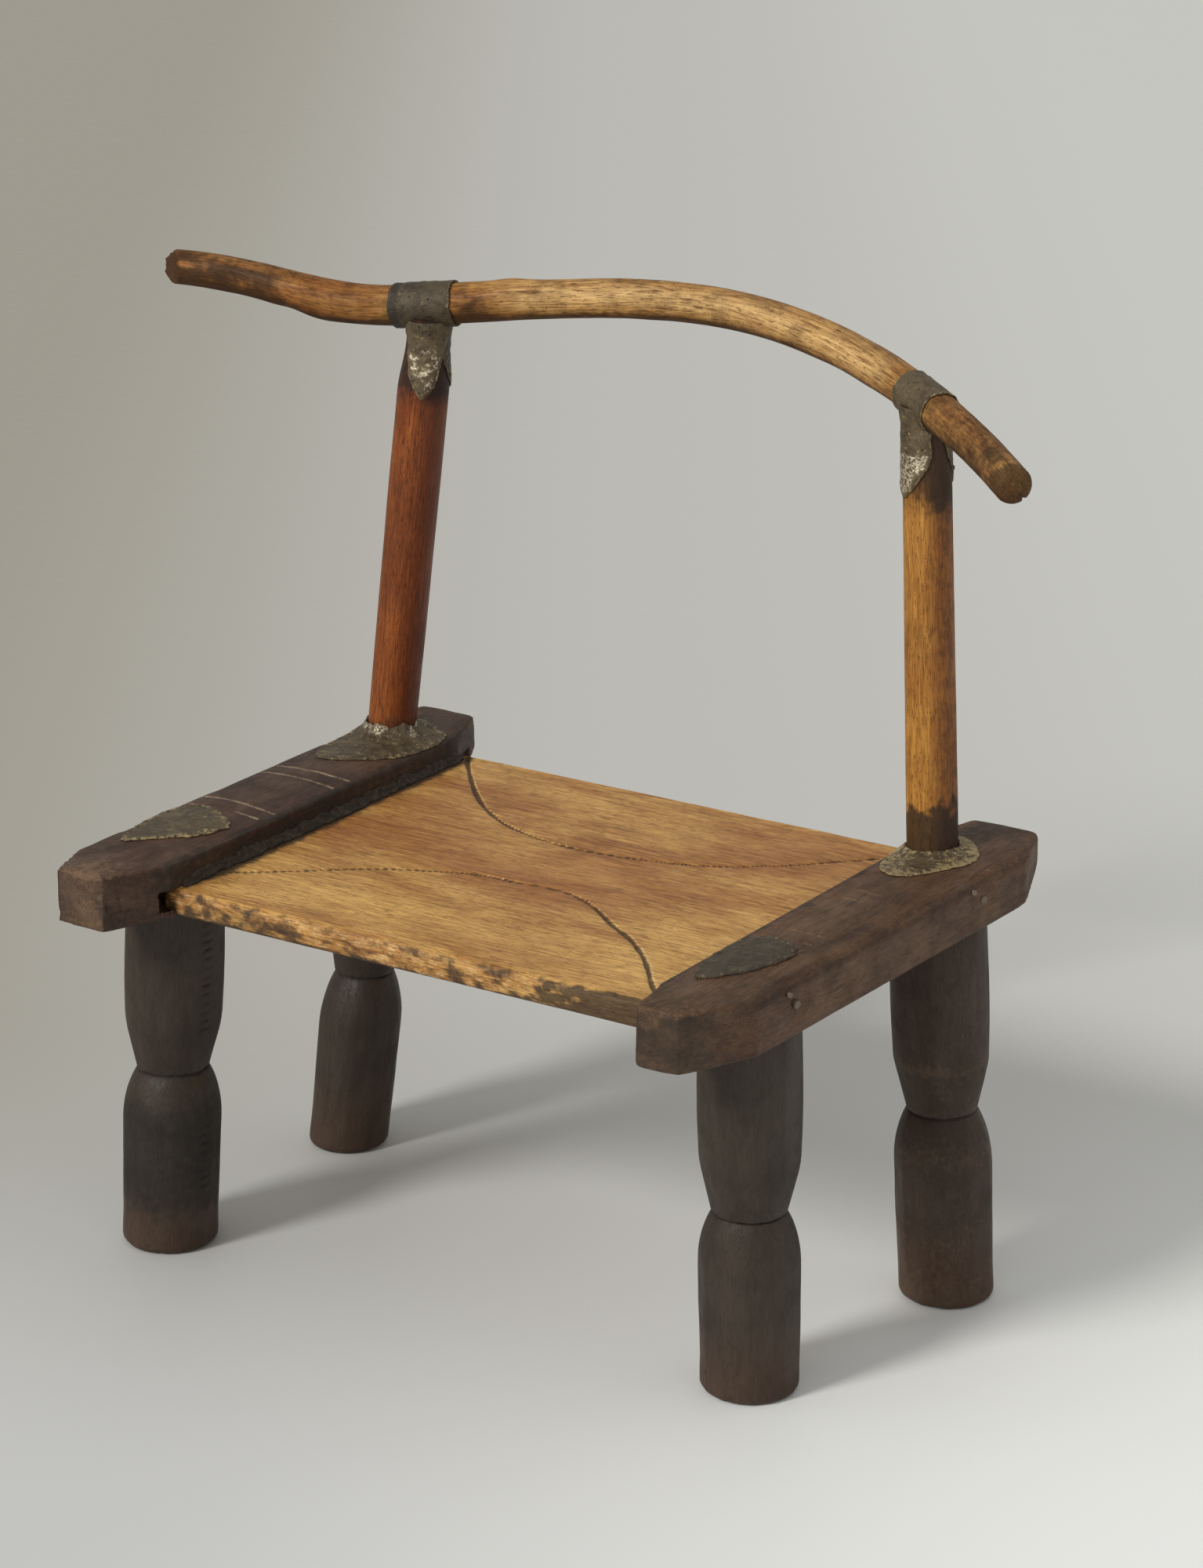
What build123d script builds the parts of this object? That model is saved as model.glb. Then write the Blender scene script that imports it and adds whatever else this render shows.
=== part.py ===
from build123d import *
from math import cos, radians, sin, sqrt
import os

# A low chair: a plank seat between two side rails on four carved legs, and a bent branch
# on two posts for a back. Millimetres. The front faces -Y, +X is on the right as seen from
# the front, +Z is up and the floor is z = 0.

# ---- seat plank
SEAT_HEIGHT = 263.0          # floor to the plank's top
SEAT_WIDTH = 356.0           # between the inner faces of the rails
PLANK_DEPTH = 312.0          # front edge to rear edge
PLANK_THICKNESS = 18.0
PLANK_FRONT_ROUNDING = 6.0
PLANK_REAR_ROUNDING = 3.0
TONGUE_LENGTH = 12.0         # how far each end enters its rail
TONGUE_THICKNESS = 11.0
GROOVE_END_GAP = 12.0        # open stretch of the rail's groove beyond each plank edge
WOOD_PLAY = 0.2              # clearance of wood in wood

# ---- the two lines carved across the seat, back to back; places in plan
CARVED_LINE_WIDTH = 4.0
CARVED_LINE_DEPTH = 2.0
REAR_CARVED_LINE = [(-170, 146), (-104, 72), (-8, 42.5), (82, 66), (154, 131)]
FRONT_CARVED_LINE = [(-170, -110), (-90, -52), (4, -27), (98, -71), (162, -138)]

# ---- side rails
RAIL_STEP = 19.0             # the rail's top above the plank's top
RAIL_HEIGHT = 37.0
RAIL_CROWN = 3.0
RAIL_SHOULDER_ROUNDING = 9.0
RAIL_FOOT_ROUNDING = 4.0
RAIL_FRONT_OVERHANG = 48.0   # beyond the plank's front edge
RAIL_REAR_OVERHANG = 29.0
RAIL_FRONT_WIDTH = {"left": 72.0, "right": 63.0}
RAIL_REAR_WIDTH = {"left": 69.0, "right": 73.0}
NOSE_INSET = 18.0            # inner face to the narrow front face
NOSE_WIDTH = {"left": 34.0, "right": 23.0}
NOSE_INNER_CUT = 44.0        # length of the front chamfers along the rail
NOSE_OUTER_CUT = 50.0
TAIL_INSET = 13.0            # the rear end is narrower by this on each side
TAIL_CUT = 42.0
TAIL_ROUNDING = 10.0
TAIL_RISE = 18.0             # the underside climbs this much at the rear end
TAIL_RISE_LENGTH = 55.0
TAIL_TOP_ROUNDING = 8.0

# ---- legs: two barrels with a notched waist, each leg a little splayed and of its own girth
LEG_TOP_RADIUS = 29.6
LEG_UPPER_RADIUS = 30.6
LEG_UPPER_HEIGHT = 185.0
LEG_SHOULDER_RADIUS = 29.8
LEG_SHOULDER_HEIGHT = 153.0
LEG_WAIST_RADIUS = 22.5
LEG_WAIST_HEIGHT = 120.0
LEG_LOWER_SHOULDER_RADIUS = 29.6
LEG_LOWER_SHOULDER_HEIGHT = 97.0
LEG_LOWER_RADIUS = 30.9
LEG_LOWER_HEIGHT = 78.0
LEG_FOOT_RADIUS = 29.2
LEG_FOOT_ROUNDING = 5.0
LEG_TENON_RADIUS = 12.5
LEG_TENON_LENGTH = {"front": 31.0, "rear": 12.0}
LEG_SETBACK = {"front": 98.0, "rear": 75.0}      # rail's end to the leg's middle
LEG_INSET = {"front_left": 40.5, "front_right": 27.5, "rear_left": 38.0, "rear_right": 30.0}
LEG_SPLAY = {"front_left": (-11.0, -4.0), "front_right": (-9.5, 19.0),
             "rear_left": (-11.0, -31.0), "rear_right": (22.0, -17.0)}
LEG_GIRTH = {"front_left": 1.01, "front_right": 1.0, "rear_left": 0.92, "rear_right": 0.98}

# ---- posts
POST_INSET = {"left": 39.0, "right": 21.0}       # rail's inner face to the post's middle
POST_SETBACK = {"left": 62.0, "right": 67.5}     # rail's rear end to the post's middle
POST_LEAN = {"left": (22.0, 21.5), "right": (-16.5, 9.3)}
BACK_HEIGHT = {"left": 569.8, "right": 560.0}    # floor to the branch's middle line
POST_BASE_RADIUS = 16.0
POST_BELLY_RADIUS = {"left": 16.6, "right": 15.6}
POST_UPPER_RADIUS = {"left": 16.9, "right": 15.0}
POST_NECK_RADIUS = {"left": 13.8, "right": 14.3}
POST_BELLY_PLACE = 0.35      # shares of the way from the rail to the branch
POST_UPPER_PLACE = 0.80
POST_NECK_PLACE = 0.92
POST_TENON_LENGTH = 16.0
CRADLE_DEPTH = 5.2           # how deep the branch lies in the post's hollowed top

# ---- the bent branch that makes the back; offsets from the nearer post's head
BRANCH_LEFT_TIP = (-205.6, -29.0, 7.4)
BRANCH_LEFT_ARM = (-130.7, -18.4, 4.2)
BRANCH_LEFT_KNOT = (-63.0, -9.0, -4.6)
BRANCH_LEFT_BEND = (83.0, 25.0, 9.0)
BRANCH_BOW = (20.0, 51.4, 18.0)                  # the middle, from halfway between the heads
BRANCH_RIGHT_BEND = (-73.5, 41.2, 11.0)
BRANCH_RIGHT_ARM = (59.5, -44.3, -9.0)
BRANCH_RIGHT_TIP = (113.5, -93.8, -16.5)
BRANCH_LEFT_TIP_RADIUS = 11.3
BRANCH_LEFT_ARM_RADIUS = 11.9
BRANCH_LEFT_KNOT_RADIUS = 13.2
BRANCH_JOINT_RADIUS = {"left": 13.2, "right": 12.3}
BRANCH_LEFT_BEND_RADIUS = 12.7
BRANCH_MIDDLE_RADIUS = 12.4
BRANCH_RIGHT_BEND_RADIUS = 12.5
BRANCH_RIGHT_ARM_RADIUS = 11.6
BRANCH_RIGHT_TIP_RADIUS = 11.3
BRANCH_SECTIONS = 21
BEVEL_TURN = 47.0            # degrees from the left tip's direction to its slanted cut
BEVEL_DEPTH = 13.0           # from the tip to the middle of the cut, along the branch
BRANCH_END_ROUNDING = {"left": 2.0, "right": 5.0}

# ---- sheet metal: sleeves round the branch, patches and collars on the rails
SHEET = 0.9
SHEET_PLAY = 0.15
SLEEVE_LENGTH = 38.0
SLEEVE_SECTIONS = 5
STRAP_WIDTH = 19.0
STRAP_LENGTH = {"front": 61.0, "rear": 48.0}     # from the branch's middle line to the point
STRAP_POINT = 28.0           # length of the strap's pointed end
PATCH_TIP = (-8.0, -42.0)    # places in plan, from the patch's middle
PATCH_CORNER = (26.0, 20.0)
PATCH_REAR = (0.0, 39.5)
PATCH_SHOULDER = (-23.5, 20.0)
PATCH_BELLY = (-24.0, -12.0)
PATCH_OFFSET = {"left": (1.0, 4.0), "right": (-4.5, 1.0)}   # leg's middle to the patch's middle
COLLAR_OUTLINE = {           # places in plan, from the post's middle
    "left": [(-9, -71), (20, -60), (37, -28), (35, 12), (10, 27), (-18, 21), (-21, -30)],
    "right": [(8, -56), (25, -32), (33, -6), (24, 14), (6, 26), (-15, 19), (-19, -8), (-13, -42)],
}
COLLAR_LIP = 5.0             # the hammered rim that stands up round the post

# ---- fasteners
TACK_HEAD_RADIUS = 1.5
TACK_HEAD_HEIGHT = 0.8
TACK_HEAD_SLOPE = 35.0
TACK_SHANK_RADIUS = 0.5
TACK_LENGTH = 4.5
TACKS_ROUND_PATCH = 8
TACKS_ROUND_COLLAR = 12      # fewer are driven, as none goes close to the post
TACK_EDGE = 3.2              # tack to the edge of the sheet
TACK_TO_POST = 4.0
STRAP_TACKS = [(-5.0, 14.0), (5.0, 14.0), (0.0, 7.0)]   # sideways, and up from the strap's point
NAIL_SIZES = ("large", "small")
NAIL_HEAD_RADIUS = {"large": 2.4, "small": 1.6}
NAIL_SHANK_RADIUS = {"large": 1.6, "small": 1.1}
NAIL_HEAD_HEIGHT = 1.0
NAIL_DROP = {"large": 16.5, "small": 8.5}        # below the rail's top
NAIL_RISE = {"large": 4.0, "small": 1.0}         # on the way to the axis of what it pins
NAIL_PAST_AXIS = {"large": 8.0, "small": 2.0}
NAIL_FORWARD = {("front", "large"): 8.0, ("front", "small"): 15.0,
                ("rear", "large"): 23.0, ("rear", "small"): 35.0}
HOLE_PLAY = 0.05

# ---- resin seam between the plank and each rail
RESIN_WIDTH = 6.0
RESIN_HEIGHT = 8.0
RESIN_END_GAP = 7.0

# ---- places that follow from the sizes above
PLANK_FRONT = -PLANK_DEPTH / 2
PLANK_REAR = PLANK_DEPTH / 2
PLANK_BOTTOM = SEAT_HEIGHT - PLANK_THICKNESS
TONGUE_BOTTOM = SEAT_HEIGHT - TONGUE_THICKNESS
RAIL_TOP = SEAT_HEIGHT + RAIL_STEP
RAIL_BOTTOM = RAIL_TOP - RAIL_HEIGHT
RAIL_FRONT = PLANK_FRONT - RAIL_FRONT_OVERHANG
RAIL_REAR = PLANK_REAR + RAIL_REAR_OVERHANG
RAIL_LENGTH = RAIL_REAR - RAIL_FRONT
INNER_FACE = SEAT_WIDTH / 2
SHEET_TOP = SHEET_PLAY + SHEET
SPARE = 8.0                  # extra length on shapes that are trimmed afterwards
UP = Vector(0, 0, 1)
OUTWARD = {"left": -1, "right": 1}
ENDS = ("front", "rear")


def across(side, inset):
    """X of a place that lies `inset` outward of a rail's inner face."""
    return OUTWARD[side] * (INNER_FACE + inset)


def rail_width(side, y):
    share = (y - RAIL_FRONT) / RAIL_LENGTH
    return RAIL_FRONT_WIDTH[side] + share * (RAIL_REAR_WIDTH[side] - RAIL_FRONT_WIDTH[side])


def rail_section(side, y):
    """Plane across a rail: x runs outward from the inner face, y up from the underside."""
    outward = OUTWARD[side]
    return Plane(origin=(across(side, 0), y, RAIL_BOTTOM), x_dir=(outward, 0, 0), z_dir=(0, -outward, 0))


def crown_plane(side, x, y, lift):
    """Plane that lies `lift` above the crowned top of a rail."""
    width = rail_width(side, y)
    radius = (width**2 / 4 + RAIL_CROWN**2) / (2 * RAIL_CROWN)
    from_ridge = x - across(side, width / 2)
    normal = Vector(from_ridge, 0, sqrt(radius**2 - from_ridge**2)).normalized()
    centre = Vector(x - from_ridge, y, RAIL_TOP - radius)
    return Plane(origin=centre + normal * (radius + lift), x_dir=(0, 1, 0), z_dir=normal)


def crown_slab(side, low, high):
    """Slab that follows the crowned top of a rail, from `low` to `high` above it."""
    edge = RAIL_HEIGHT - RAIL_CROWN
    with BuildPart() as slab:
        for y in (RAIL_FRONT - SPARE, RAIL_REAR + SPARE):
            width = rail_width(side, y)
            with BuildSketch(rail_section(side, y)):
                with BuildLine():
                    ThreePointArc((0, edge + low), (width / 2, RAIL_HEIGHT + low), (width, edge + low))
                    Line((width, edge + low), (width, edge + high))
                    ThreePointArc((width, edge + high), (width / 2, RAIL_HEIGHT + high), (0, edge + high))
                    Line((0, edge + high), (0, edge + low))
                make_face()
        loft(ruled=True)
    return slab.part


def axis_plane(start, direction):
    """Plane through a turned piece's axis: its y runs along the axis."""
    sideways = direction.cross(Vector(0, 1, 0)).normalized()
    return Plane(origin=start, x_dir=sideways, z_dir=sideways.cross(direction))


def cylinder_along(plane, radius, length):
    """Round bar that starts on a plane and follows its normal."""
    with BuildPart() as bar:
        with BuildSketch(plane):
            Circle(radius)
        extrude(amount=length)
    return bar.part


# ---------------------------------------------------------------- where legs and posts stand
def leg_name(end, side):
    return f"{end}_{side}"


def leg_top(end, side):
    ends = {"front": RAIL_FRONT + LEG_SETBACK["front"], "rear": RAIL_REAR - LEG_SETBACK["rear"]}
    return Vector(across(side, LEG_INSET[leg_name(end, side)]), ends[end], RAIL_BOTTOM)


def leg_foot(end, side):
    splay = LEG_SPLAY[leg_name(end, side)]
    return leg_top(end, side) + Vector(splay[0], splay[1], -RAIL_BOTTOM)


def leg_direction(end, side):
    return (leg_top(end, side) - leg_foot(end, side)).normalized()


def leg_tenon(end, side, play=0.0):
    """Round peg on top of a leg; with play it is the mortise in the rail."""
    direction = leg_direction(end, side)
    start = leg_top(end, side) - direction * SPARE
    bar = cylinder_along(Plane(origin=start, z_dir=direction), LEG_TENON_RADIUS + play, RAIL_BOTTOM)
    level = RAIL_BOTTOM + LEG_TENON_LENGTH[end] + play
    return split(bar, bisect_by=Plane.XY.offset(level), keep=Keep.BOTTOM)


def post_foot(side):
    """Where the post's axis meets the rail's top."""
    return Vector(across(side, POST_INSET[side]), RAIL_REAR - POST_SETBACK[side], RAIL_TOP)


def post_head(side):
    """Where the post's axis meets the branch's middle line."""
    lean = POST_LEAN[side]
    return post_foot(side) + Vector(lean[0], lean[1], BACK_HEIGHT[side] - RAIL_TOP)


def post_direction(side):
    return (post_head(side) - post_foot(side)).normalized()


def post_length(side):
    return (post_head(side) - post_foot(side)).length


def post_body(side, grow=0.0):
    """A post's turned form up to the branch's middle line, grown all over for what wraps it."""
    length = post_length(side)
    base = POST_BASE_RADIUS + grow
    belly = (POST_BELLY_RADIUS[side] + grow, POST_BELLY_PLACE * length)
    upper = (POST_UPPER_RADIUS[side] + grow, POST_UPPER_PLACE * length)
    neck = POST_NECK_RADIUS[side] + grow
    with BuildPart() as body:
        with BuildSketch(axis_plane(post_foot(side), post_direction(side))):
            with BuildLine():
                Line((0, -RAIL_HEIGHT), (base, -RAIL_HEIGHT))
                Line((base, -RAIL_HEIGHT), (base, 0))
                Spline((base, 0), belly, upper, tangents=[(0, 1), (0, 1)])
                Spline(upper, (neck, POST_NECK_PLACE * length), tangents=[(0, 1), (0, 1)])
                Line((neck, POST_NECK_PLACE * length), (neck, length))
                Line((neck, length), (0, length))
                Line((0, length), (0, -RAIL_HEIGHT))
            make_face()
        revolve(axis=Axis(post_foot(side), post_direction(side)))
    return body.part


# ---------------------------------------------------------------- the branch's bent line
def offset_from(place, offset):
    return place + Vector(*offset)


LEFT_HEAD = post_head("left")
RIGHT_HEAD = post_head("right")
BRANCH_STATIONS = [
    (offset_from(LEFT_HEAD, BRANCH_LEFT_TIP), BRANCH_LEFT_TIP_RADIUS),
    (offset_from(LEFT_HEAD, BRANCH_LEFT_ARM), BRANCH_LEFT_ARM_RADIUS),
    (offset_from(LEFT_HEAD, BRANCH_LEFT_KNOT), BRANCH_LEFT_KNOT_RADIUS),
    (LEFT_HEAD, BRANCH_JOINT_RADIUS["left"]),
    (offset_from(LEFT_HEAD, BRANCH_LEFT_BEND), BRANCH_LEFT_BEND_RADIUS),
    (offset_from((LEFT_HEAD + RIGHT_HEAD) / 2, BRANCH_BOW), BRANCH_MIDDLE_RADIUS),
    (offset_from(RIGHT_HEAD, BRANCH_RIGHT_BEND), BRANCH_RIGHT_BEND_RADIUS),
    (RIGHT_HEAD, BRANCH_JOINT_RADIUS["right"]),
    (offset_from(RIGHT_HEAD, BRANCH_RIGHT_ARM), BRANCH_RIGHT_ARM_RADIUS),
    (offset_from(RIGHT_HEAD, BRANCH_RIGHT_TIP), BRANCH_RIGHT_TIP_RADIUS),
]
BRANCH_LINE = Spline(*[place for place, radius in BRANCH_STATIONS])
BRANCH_PLACES = [BRANCH_LINE.param_at_point(place) for place, radius in BRANCH_STATIONS]
BRANCH_RADII = [radius for place, radius in BRANCH_STATIONS]
JOINT_PLACE = {
    "left": BRANCH_LINE.param_at_point(LEFT_HEAD),
    "right": BRANCH_LINE.param_at_point(RIGHT_HEAD),
}


def branch_radius(place):
    """Radius at a share of the branch's length, eased between the stations."""
    spans = zip(BRANCH_PLACES, BRANCH_PLACES[1:], BRANCH_RADII, BRANCH_RADII[1:])
    for start, end, first, last in spans:
        if place <= end or end == BRANCH_PLACES[-1]:
            share = (place - start) / (end - start)
            return first + (last - first) * share * share * (3 - 2 * share)


def branch_body(start, end, sections, grow=0.0):
    """A stretch of the branch between two shares of its length."""
    with BuildPart() as body:
        for number in range(sections):
            place = start + (end - start) * number / (sections - 1)
            tangent = BRANCH_LINE.tangent_at(place)
            plane = Plane(origin=BRANCH_LINE.position_at(place), x_dir=UP.cross(tangent), z_dir=tangent)
            with BuildSketch(plane):
                Circle(branch_radius(place) + grow)
        loft()
    return body.part


def branch_at_joint(side, length, grow):
    half = length / 2 / BRANCH_LINE.length
    return branch_body(JOINT_PLACE[side] - half, JOINT_PLACE[side] + half, SLEEVE_SECTIONS, grow)


# ---------------------------------------------------------------- tacks and nails
def tack(plane):
    """Tack whose head lies on a plane and whose shank goes in against the normal."""
    with BuildPart() as pin:
        with BuildSketch(plane):
            Circle(TACK_HEAD_RADIUS)
        extrude(amount=TACK_HEAD_HEIGHT, taper=TACK_HEAD_SLOPE)
        with BuildSketch(plane):
            Circle(TACK_SHANK_RADIUS)
        extrude(amount=-TACK_LENGTH)
    return pin.part


def tack_hole(plane):
    start = Plane(origin=plane.origin + plane.z_dir * SHEET, z_dir=-plane.z_dir)
    return cylinder_along(start, TACK_SHANK_RADIUS + HOLE_PLAY, TACK_LENGTH + SHEET + HOLE_PLAY)


def nail_target(end, side, size):
    """Point on the axis of the tenon or post that a nail pins."""
    level = RAIL_TOP - NAIL_DROP[size] + NAIL_RISE[size]
    if end == "front":
        start, direction = leg_top(end, side), leg_direction(end, side)
    else:
        start, direction = post_foot(side), post_direction(side)
    return start + direction * ((level - start.Z) / direction.Z)


def nail(end, side, size, play=0.0):
    """Nail driven through the rail's outer face; with play it is the nail's hole."""
    target = nail_target(end, side, size)
    y = target.Y - NAIL_FORWARD[end, size]
    start = Vector(across(side, rail_width(side, y)), y, RAIL_TOP - NAIL_DROP[size])
    direction = (target - start).normalized()
    length = (target - start).length + NAIL_PAST_AXIS[size] + play
    head = Plane(origin=start - direction * (NAIL_HEAD_HEIGHT / 2), z_dir=direction)
    with BuildPart() as pin:
        with BuildSketch(head):
            Circle(NAIL_HEAD_RADIUS[size] + play)
        extrude(amount=NAIL_HEAD_HEIGHT + play)
        with BuildSketch(head):
            Circle(NAIL_SHANK_RADIUS[size] + play)
        extrude(amount=length)
    return pin.part


# ---------------------------------------------------------------- outlines of the sheet metal
def patch_middle(side):
    return leg_top("front", side) + Vector(*PATCH_OFFSET[side])


def patch_outline(side):
    """Leaf-shaped patch, pointed in front; both sides have the same leaf, not a mirrored one."""
    middle = patch_middle(side)
    with BuildSketch(Plane(origin=(middle.X, middle.Y, RAIL_TOP - SPARE))) as leaf:
        with BuildLine():
            Line(PATCH_TIP, PATCH_CORNER)
            ThreePointArc(PATCH_CORNER, PATCH_REAR, PATCH_SHOULDER)
            ThreePointArc(PATCH_SHOULDER, PATCH_BELLY, PATCH_TIP)
        make_face()
    return leaf.sketch


def collar_outline(side):
    foot = post_foot(side)
    with BuildSketch(Plane(origin=(foot.X, foot.Y, RAIL_TOP - SPARE))) as leaf:
        with BuildLine():
            Spline(*COLLAR_OUTLINE[side], periodic=True)
        make_face()
    return leaf.sketch


def rim_planes(outline, side, count):
    """Tack planes evenly spaced just inside a sheet's edge, on top of the sheet."""
    rim = offset(outline.face(), amount=-TACK_EDGE).face().outer_wire()
    places = [rim.position_at(number / count) for number in range(count)]
    lift = SHEET_TOP + HOLE_PLAY
    return [crown_plane(side, place.X, place.Y, lift) for place in places]


def patch_tacks(side):
    return rim_planes(patch_outline(side), side, TACKS_ROUND_PATCH)


def collar_tacks(side):
    foot = post_foot(side)
    nearest = POST_BASE_RADIUS + TACK_TO_POST
    planes = rim_planes(collar_outline(side), side, TACKS_ROUND_COLLAR)
    return [plane for plane in planes
            if Vector(plane.origin.X - foot.X, plane.origin.Y - foot.Y).length > nearest]


def strap_plane(end, side):
    """Upright plane at a post's head, along the branch; its normal is where the strap hangs."""
    tangent = BRANCH_LINE.tangent_at(JOINT_PLACE[side])
    along = Vector(tangent.X, tangent.Y, 0).normalized()
    facing = along.cross(UP) if end == "front" else UP.cross(along)
    return Plane(origin=post_head(side), x_dir=UP.cross(facing), z_dir=facing)


def post_radius_near_head(side, down):
    """Post's radius at a distance below its head, straight between the neck and the upper part."""
    neck_down = (1 - POST_NECK_PLACE) * post_length(side)
    upper_down = (1 - POST_UPPER_PLACE) * post_length(side)
    share = max(0, (down - neck_down) / (upper_down - neck_down))
    return POST_NECK_RADIUS[side] + share * (POST_UPPER_RADIUS[side] - POST_NECK_RADIUS[side])


def strap_tacks(end, side):
    """Tack planes on a strap, square to the post's round face."""
    plane = strap_plane(end, side)
    planes = []
    for sideways, up in STRAP_TACKS:
        down = STRAP_LENGTH[end] - up
        radius = post_radius_near_head(side, down) + SHEET_TOP + HOLE_PLAY
        on_axis = post_head(side) - post_direction(side) * down
        outward = plane.x_dir * sideways + plane.z_dir * sqrt(radius**2 - sideways**2)
        square = outward - post_direction(side) * outward.dot(post_direction(side))
        normal = square.normalized()
        planes.append(Plane(origin=on_axis + normal * radius, z_dir=normal))
    return planes


# ================================================================ seat plank
with BuildPart() as seat_plank:
    with BuildSketch(Plane.YZ):
        with Locations(((PLANK_FRONT + PLANK_REAR) / 2, SEAT_HEIGHT)):
            Rectangle(PLANK_DEPTH, PLANK_THICKNESS, align=(Align.CENTER, Align.MAX))
    extrude(amount=INNER_FACE - WOOD_PLAY, both=True)
    long_edges = seat_plank.edges().filter_by(Axis.X)
    fillet(long_edges.group_by(Axis.Y)[0], PLANK_FRONT_ROUNDING)
    fillet(long_edges.group_by(Axis.Y)[-1], PLANK_REAR_ROUNDING)
    with BuildSketch(Plane.XY.offset(TONGUE_BOTTOM)):
        Rectangle(SEAT_WIDTH + 2 * TONGUE_LENGTH, PLANK_DEPTH - 2 * PLANK_FRONT_ROUNDING)
    extrude(amount=TONGUE_THICKNESS)
    for carved_line in (REAR_CARVED_LINE, FRONT_CARVED_LINE):
        with BuildLine(Plane.XY.offset(SEAT_HEIGHT)) as route:
            Spline(*carved_line)
        ahead = route.edge().tangent_at(0)
        with BuildSketch(Plane(origin=route.edge().position_at(0), x_dir=UP.cross(ahead), z_dir=ahead)):
            with BuildLine():
                Polyline(
                    (-CARVED_LINE_WIDTH / 2, 0),
                    (-CARVED_LINE_WIDTH / 2, CARVED_LINE_DEPTH),
                    (CARVED_LINE_WIDTH / 2, CARVED_LINE_DEPTH),
                    (CARVED_LINE_WIDTH / 2, 0),
                    (0, -CARVED_LINE_DEPTH),
                    close=True,
                )
            make_face()
        sweep(path=route.edge(), mode=Mode.SUBTRACT)

pieces = {"seat_plank": seat_plank}


# ================================================================ side rails
def rail_plan(side):
    """Boat-shaped outline of a rail, seen from above."""
    front_width = RAIL_FRONT_WIDTH[side]
    rear_width = RAIL_REAR_WIDTH[side]
    corners = [
        (NOSE_INSET, RAIL_FRONT),
        (NOSE_INSET + NOSE_WIDTH[side], RAIL_FRONT),
        (front_width, RAIL_FRONT + NOSE_OUTER_CUT),
        (rear_width, RAIL_REAR - TAIL_CUT),
        (rear_width - TAIL_INSET, RAIL_REAR),
        (TAIL_INSET, RAIL_REAR),
        (0, RAIL_REAR - TAIL_CUT),
        (0, RAIL_FRONT + NOSE_INNER_CUT),
    ]
    return [(across(side, inset), y) for inset, y in corners]


def rail_blank(side):
    """Crowned bar that widens or narrows along its length, before its ends are shaped."""
    edge = RAIL_HEIGHT - RAIL_CROWN
    with BuildPart() as blank:
        for y in (RAIL_FRONT - SPARE, RAIL_REAR + SPARE):
            width = rail_width(side, y)
            with BuildSketch(rail_section(side, y)) as section:
                with BuildLine():
                    Line((0, 0), (0, edge))
                    ThreePointArc((0, edge), (width / 2, RAIL_HEIGHT), (width, edge))
                    Line((width, edge), (width, 0))
                    Line((width, 0), (0, 0))
                make_face()
                outer = section.vertices().group_by(Axis.X)[-1].sort_by(Axis.Y)
                fillet(outer[-1], RAIL_SHOULDER_ROUNDING)
                outer = section.vertices().sort_by(Axis.Y)[:2].sort_by(Axis.X)
                fillet(outer[-1], RAIL_FOOT_ROUNDING)
        loft(ruled=True)
    return blank.part


def rail_body(side):
    """A rail with its ends shaped, before any joint is cut."""
    blank = rail_blank(side)
    tail_start = (RAIL_REAR - TAIL_RISE_LENGTH, RAIL_BOTTOM)
    tail_low = (RAIL_REAR + WOOD_PLAY, RAIL_BOTTOM + TAIL_RISE)
    tail_high = (RAIL_REAR + WOOD_PLAY, RAIL_TOP - TAIL_TOP_ROUNDING)
    tail_top = (RAIL_REAR - 2 * TAIL_TOP_ROUNDING, RAIL_TOP + WOOD_PLAY)
    nose_top = (RAIL_FRONT - SPARE, RAIL_TOP + WOOD_PLAY)
    nose_low = (RAIL_FRONT - SPARE, RAIL_BOTTOM)
    with BuildPart() as body:
        with BuildSketch(Plane.XY.offset(RAIL_BOTTOM - SPARE)) as plan:
            with BuildLine():
                Polyline(*rail_plan(side), close=True)
            make_face()
            fillet(plan.vertices().group_by(Axis.Y)[-1], TAIL_ROUNDING)
        extrude(amount=RAIL_HEIGHT + 2 * SPARE)
        with BuildSketch(Plane.YZ):
            with BuildLine():
                Line(nose_low, tail_start)
                TangentArc(tail_start, tail_low, tangent=(1, 0))
                Line(tail_low, tail_high)
                TangentArc(tail_high, tail_top, tangent=(0, 1))
                Line(tail_top, nose_top)
                Line(nose_top, nose_low)
            make_face()
        extrude(amount=SEAT_WIDTH, both=True, mode=Mode.INTERSECT)
        add(blank, mode=Mode.INTERSECT)
    return body.part


for side in OUTWARD:
    body = rail_body(side)
    mortises = [leg_tenon(end, side, WOOD_PLAY) for end in ENDS]
    post_hole = split(post_body(side, WOOD_PLAY), keep=Keep.TOP,
                      bisect_by=Plane.XY.offset(RAIL_TOP - POST_TENON_LENGTH - WOOD_PLAY))
    nail_holes = [nail(end, side, size, HOLE_PLAY) for end in ENDS for size in NAIL_SIZES]
    tack_holes = [tack_hole(plane) for plane in patch_tacks(side) + collar_tacks(side)]
    groove_depth = TONGUE_LENGTH + WOOD_PLAY
    with BuildPart() as rail:
        add(body)
        with BuildSketch(Plane.XY.offset(TONGUE_BOTTOM)):
            with Locations((across(side, groove_depth / 2), 0)):
                Rectangle(groove_depth, PLANK_DEPTH + 2 * GROOVE_END_GAP)
        extrude(amount=TONGUE_THICKNESS + WOOD_PLAY, mode=Mode.SUBTRACT)
        add(mortises, mode=Mode.SUBTRACT)
        add(post_hole, mode=Mode.SUBTRACT)
        add(nail_holes, mode=Mode.SUBTRACT)
        add(tack_holes, mode=Mode.SUBTRACT)
    pieces[f"{side}_rail"] = rail


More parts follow.
